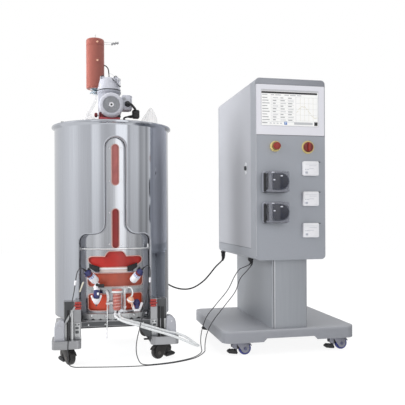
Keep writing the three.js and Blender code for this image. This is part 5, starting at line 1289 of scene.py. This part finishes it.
# Left and right side of the pumps, their shafts, and the left side of their lids.
X0, X1, SHAFT_X, LID_X = 37 - HALF, 183 - HALF, 122 - HALF, 47.6 - HALF
for which, z in (("upper", 1000), ("lower", 825)):
    foot, head = z - 61.5, z + 61.5
    centre = (SHAFT_X, 0, z)
    body = Piece("pump_" + which + "_body", TOWER)
    body.prism(rounded(X0, X1, foot, head, 12), "y", -26, -GAP, "pump_face", 2, 3)
    body.prism(dee(X0 + 44, X1 - 3, 48, z), "y", -27.6, -25, "rotor", 0.6)
    body.prism(rounded(X0, X0 + 16, foot + 6, head - 10, 7), "y", -27.4, -24, "black", 1)
    body.block((X0, -52, foot + 14), (X0 + 10, -25, head - 14), "black", 3)
    for height in (z - 38, z + 38):
        body.turned(disc(7, -9, 9), "black", (X0 + 5, -46, height), UP, 18)
    body.turned(disc(6, 0, 16), "screw", (SHAFT_X, -26, z), OUT, 24)
    body.block((X0 + 4, -30, foot), (X1 - 10, -2, foot + 5), "black", 2, 2)
    body.block((X1 + 3, -9, z + 3), (X1 + 20, -GAP, z + 9), "dark_metal", 1.5, 2)
    body.done("black_plastic", "pump_body_" + which)
    rotor = Piece("pump_" + which + "_rotor", TOWER)
    rotor.turned([(6.3, 28.2), (38, 28.2), (38, 30), (36, 31), (36, 43), (38, 44), (38, 46), (36, 46.3),
                  (6.3, 46.3)], "rotor", centre, OUT, ring=True)
    rotor.turned([(0, 43.5), (9, 43.5), (9, 49), (7, 50.4), (0, 50.4)], "hub", centre, OUT, 28)
    for k in range(3):
        spin = move(centre) @ turn(2 * math.pi * k / 3 + 0.4, "Y")
        rotor.block((-7, -50.2, 4), (7, -44, 32), "hub", 3, 3, spin)
        rotor.turned([(0, 30), (6.5, 30), (6.5, 47.6), (5, 48.6), (0, 48.6)], "screw",
                     spin @ Vector((0, 0, 29)), OUT, 20)
    rotor.done("rotor_grey", "pump_rotor_" + which, body="pump_rotor_" + which + "_body")
    lid = Piece("pump_" + which + "_lid", TOWER)
    shape, rim = rounded(LID_X, X1, foot, head, 12), dee(X0 + 45, X1 - 4, 47, z + 1, 16)
    skin = [(0, -26.3), (0, -53), (-1.2, -57), (-4, -59.4), (-7, -60), (-10, -57), (-7, -56.4), (-4.2, -54),
            (-3, -51), (-3, -26.3), (0, -26.3)]
    bead = [(0, -62), (-1, -64), (-5, -64), (-6, -62.6), (-5, -61), (0, -61), (0, -62)]
    for outline, rows, mat in ((shape, skin, "lid_frame"), (rim, bead, "rotor")):
        lid.loops([[(x, y, q) for x, q in grown(outline, m)] for m, y in rows], mat)
    lid.prism(grown(shape, -7), "y", -60, -57, "lid_frame")
    lid.prism(dee(X0 + 45, X1 - 4, 47, z + 1), "y", -63, -60.4, "smoke", 1)
    lid.prism(rounded(LID_X, LID_X + 6, z - 47, z + 50, 3), "y", -62.6, -59.8, "black", 0.8)
    # Painted highlights: three pale patches on each lid stand for reflections on its glossy front.
    for x, q, w, h in ((X0 + 96, z + 33, 7, 4), (X0 + 52, z + 10, 6, 4), (X0 + 44, z + 52, 8, 3)):
        lid.prism(rounded(x - w, x + w, q - h, q + h, 2.5), "y", -65.4, -62.4, "painted_glint", 0.8)
    lid.prism(rounded(X0 + 24, X0 + 38, z - 44, z + 46, 5), "y", -62, -59.8, "lid_frame", 1)
    lid.done("pump_smoke", "pump_cover_" + which, 40, "pump_door_" + which)

for i, z in enumerate((1080, 904, 721)):
    unit = Piece("sensor_module_%d_case" % (i + 1), TOWER)
    unit.prism(rounded(69, 165, z - 42, z + 42, 8), "y", -20.5, -GAP, "white", 2.4, 3)
    unit.prism(rounded(74, 160, z - 37, z + 37, 6), "y", -22, -20, "white", 0.8)
    unit.block((80, -22.6, z - 30), (96, -21.6, z - 18), "grey_print", 1, 2)
    for x in (82, 91, 100):
        unit.turned([(0, 0), (2.4, 0), (2.4, 1.2), (0, 1.6)], "grey_print", (x, -22, z - 6 + 2 * i), OUT, 12)
    for x0, x1, low, high in ((104, 150, 14, 17), (104, 132, -2, 1), (80, 154, 24, 26)):
        unit.block((x0, -22.5, z + low), (x1, -21.6, z + high), "soft_line", 0.3, 1)
    unit.done("white_plastic", "sensor_module_%d" % (i + 1))
    tags = Piece("module_tag_%d" % (i + 1), TOWER)
    tags.block((166, -5, z + 36), (182, -GAP, z + 42), "dark_metal", 1, 2)
    tags.done("black_plastic")

lock = Piece("lock_plate", TOWER)
plate, hole = (ring_row(36, lambda u, v: (192 + w * u, 1093 + h * v)) for w, h in ((24, 38), (15, 15)))
lock.loops([[(x - HALF, y, z) for y, z in row] for x, row in
            ((-0.2, plate), (-2.2, grown(plate, -1)), (-2.2, hole), (-0.2, hole))], "plate_silver")
lock.done("cabinet_grey", body="cabinet_door")

PLAT_HALF, PLAT_FRONT, PLAT_DEPTH = 405.5, 8.0, 808.0
platform = Piece("platform_body", TOWER)
plan = rounded(-PLAT_HALF, PLAT_HALF, PLAT_FRONT, PLAT_FRONT + PLAT_DEPTH, 50, 12)


def level_rows(outline, rows):
    """An outline at several heights, each grown by a margin: rows are (margin, height)."""
    return [[(x, y, z) for x, y in grown(outline, m)] for m, z in rows]


outside = level_rows(plan, [(-3, 79), (-0.6, 78.6), (0, 79.4), (0, 143), (-0.6, 146), (-2, 148), (-4.4, 149)])
platform.shell(outside, level_rows(plan, [(-4.4, 146), (-3, 145), (-3, 79)]), "platform")
ARCH_X = PLAT_HALF - 240
arch = [(-ARCH_X, 70), (-ARCH_X, 79), (20 - ARCH_X, 99), (ARCH_X - 20, 99), (ARCH_X, 79), (ARCH_X, 70)]
carve(platform, [Piece("cutter", TOWER).prism(arch, "y", -20, 900, "platform")])
POST_LOW, POST_TOP = 149.1, 549.7
platform.loops(level_rows(rounded(-110, 110, 31, 771, 8, 6), [
    (0, POST_LOW), (0, POST_TOP), (-3, POST_TOP), (-3, POST_LOW), (0, POST_LOW)]), "pedestal")
platform.done("platform_steel", "base_platform", 32)
strips = Piece("pedestal_strip_and_highlight", TOWER)
# Painted highlight: the pale strip stands for the light on the bend of the pedestal's front; a dark strip
# runs beside it.
strips.block((-95, 29.8, 149.4), (-87, 31.3, 548), "lip", 0.7, 2)
strips.block((-99, 30.4, 149.4), (-95, 31.2, 548), "bar_dark", 0)
strips.done("platform_steel")

# The side door takes the lighter copy of the cabinet paint: painted light on the left side.
for node, mat in {"drive_bridge": "dark_metal", "agitator": "milky", "filter_bracket": "steel",
                  "base_frame": "frame", "display_bezel": "bezel", "side_door": "lit_side_panel",
                  "door_lock": "dark_metal"}.items():
    data = frame["nodes"][node].data
    data.materials.clear()
    data.materials.append(M[mat])

# ------------------------------------------------------------------------------- the stage

scene = bpy.context.scene
scene.view_settings.view_transform = "Standard"
LIGHT_LEVEL = 0.62                       # the world's light on matt surfaces, of its white background


def white_behind(tree, plain, bright):
    """Joins two closures: the plain one, and white where the camera, metal or glass looks."""
    path = add(tree, "LightPath", {}).outputs
    seen = path["Is Camera Ray"]
    for ray in ("Is Glossy Ray", "Is Transmission Ray"):
        seen = add(tree, "Math", {0: seen, 1: path[ray]}, "MAXIMUM").outputs[0]
    return add(tree, "MixShader", {0: seen, 1: plain, 2: bright}).outputs[0]


world = bpy.data.worlds.new("studio")
world.use_nodes = True
scene.world = world
tree = world.node_tree
plain = fill(tree, tree.nodes["Background"], {"Color": (1, 1, 1, 1), "Strength": LIGHT_LEVEL}).outputs[0]
white = add(tree, "Background", {"Color": (1, 1, 1, 1), "Strength": 1.0}).outputs[0]
fill(tree, tree.nodes["World Output"], {"Surface": white_behind(tree, plain, white)})


def studio(name, mesh):
    """Puts a mesh of the studio in the scene and hands back its object and its emptied material."""
    obj = bpy.data.objects.new(name, mesh)
    scene.collection.objects.link(obj)
    mat = bpy.data.materials.new(name)
    mat.use_nodes = True
    mat.node_tree.nodes.remove(mat.node_tree.nodes["Principled BSDF"])
    mesh.materials.append(mat)
    return obj, mat.node_tree


floor_mesh = bpy.data.meshes.new("floor")
disk = bmesh.new()
bmesh.ops.create_circle(disk, cap_ends=True, radius=9.0, segments=64)
disk.to_mesh(floor_mesh)
disk.free()
floor, tree = studio("floor", floor_mesh)
diffuse = add(tree, "BsdfDiffuse", {"Color": (0.82, 0.82, 0.83, 1)}).outputs[0]
lift = add(tree, "Emission", {"Strength": 1.15}).outputs[0]
both = add(tree, "MixShader", {0: 0.78, 1: diffuse, 2: lift}).outputs[0]
fill(tree, tree.nodes["Material Output"], {"Surface": white_behind(tree, diffuse, both)})
floor.visible_glossy = False

# A ring of light and dark strips round the tank, which only polished metal sees:
# degrees round from the camera, level, and the share of it that is left near the floor.
STRIPS = [(-180, 0.85, 0.8), (-110, 0.95, 0.85), (-77, 1.2, 0.8), (-62, 0.95, 0.8), (-40, 0.85, 0.65),
          (-37, 1.3, 0.6), (-27, 1.25, 0.6), (-19, 0.85, 0.6), (-10, 0.75, 0.7), (6, 0.9, 0.8), (9, 1.6, 0.8),
          (28, 1.6, 0.8), (31, 0.6, 0.6), (37, 0.95, 0.55), (50, 1.0, 0.5), (56, 0.5, 0.5), (66, 0.75, 0.5),
          (70, 0.4, 0.5), (77, 1.0, 0.5), (84, 0.95, 0.45), (88, 0.4, 0.4), (104, 0.5, 0.4), (110, 1.0, 0.35),
          (135, 0.75, 0.4), (180, 0.85, 0.8)]
RING_REACH = 5.2
to_camera = math.atan2(CAMERA_AT.y - TANK.y, CAMERA_AT.x - TANK.x)
points, levels = [], []
for degrees, level, left in STRIPS:
    angle = to_camera + math.radians(degrees)
    for z, share in ((-1.2, left), (-0.3, left), (1.65, 1.0), (5.0, 1.0)):
        points.append((TANK.x + RING_REACH * math.cos(angle), TANK.y + RING_REACH * math.sin(angle), z))
        levels.append(level * share)
ring_mesh = bpy.data.meshes.new("studio_ring")
ring_mesh.from_pydata(points, [], [(4 * i + k, 4 * i + k + 4, 4 * i + k + 5, 4 * i + k + 1)
                                   for i in range(len(STRIPS) - 1) for k in range(3)])
ring_mesh.attributes.new("level", "FLOAT", "POINT").data.foreach_set("value", levels)
ring, tree = studio("studio_ring", ring_mesh)
strength = add(tree, "Attribute", {})
strength.attribute_name = "level"
shine = add(tree, "Emission", {"Strength": strength.outputs["Fac"]}).outputs[0]
fill(tree, tree.nodes["Material Output"], {"Surface": shine})
for ray in ("camera", "diffuse", "transmission", "shadow", "volume_scatter"):
    setattr(ring, "visible_" + ray, False)

for name, spot, target, size, watts in (
        ("key", (-4.4, -1.3, 2.6), (0.2, 0, 0.8), 2.4, 150),
        ("fill", (2.0, -3.9, 2.2), (0.1, 0, 0.8), 2.6, 28),
        ("low", (-3.4, 1.2, 0.7), (0.6, 0.3, 0.6), 1.6, 100),
        ("above", (0.4, 0.6, 4.2), (0.4, 0.5, 0), 2.4, 60)):
    data = bpy.data.lights.new(name, "AREA")
    data.shape, data.size, data.energy = "DISK", size, watts
    lamp = bpy.data.objects.new(name, data)
    lamp.location = spot
    lamp.rotation_euler = (Vector(target) - Vector(spot)).to_track_quat("-Z", "Y").to_euler()
    lamp.visible_glossy = False
    scene.collection.objects.link(lamp)
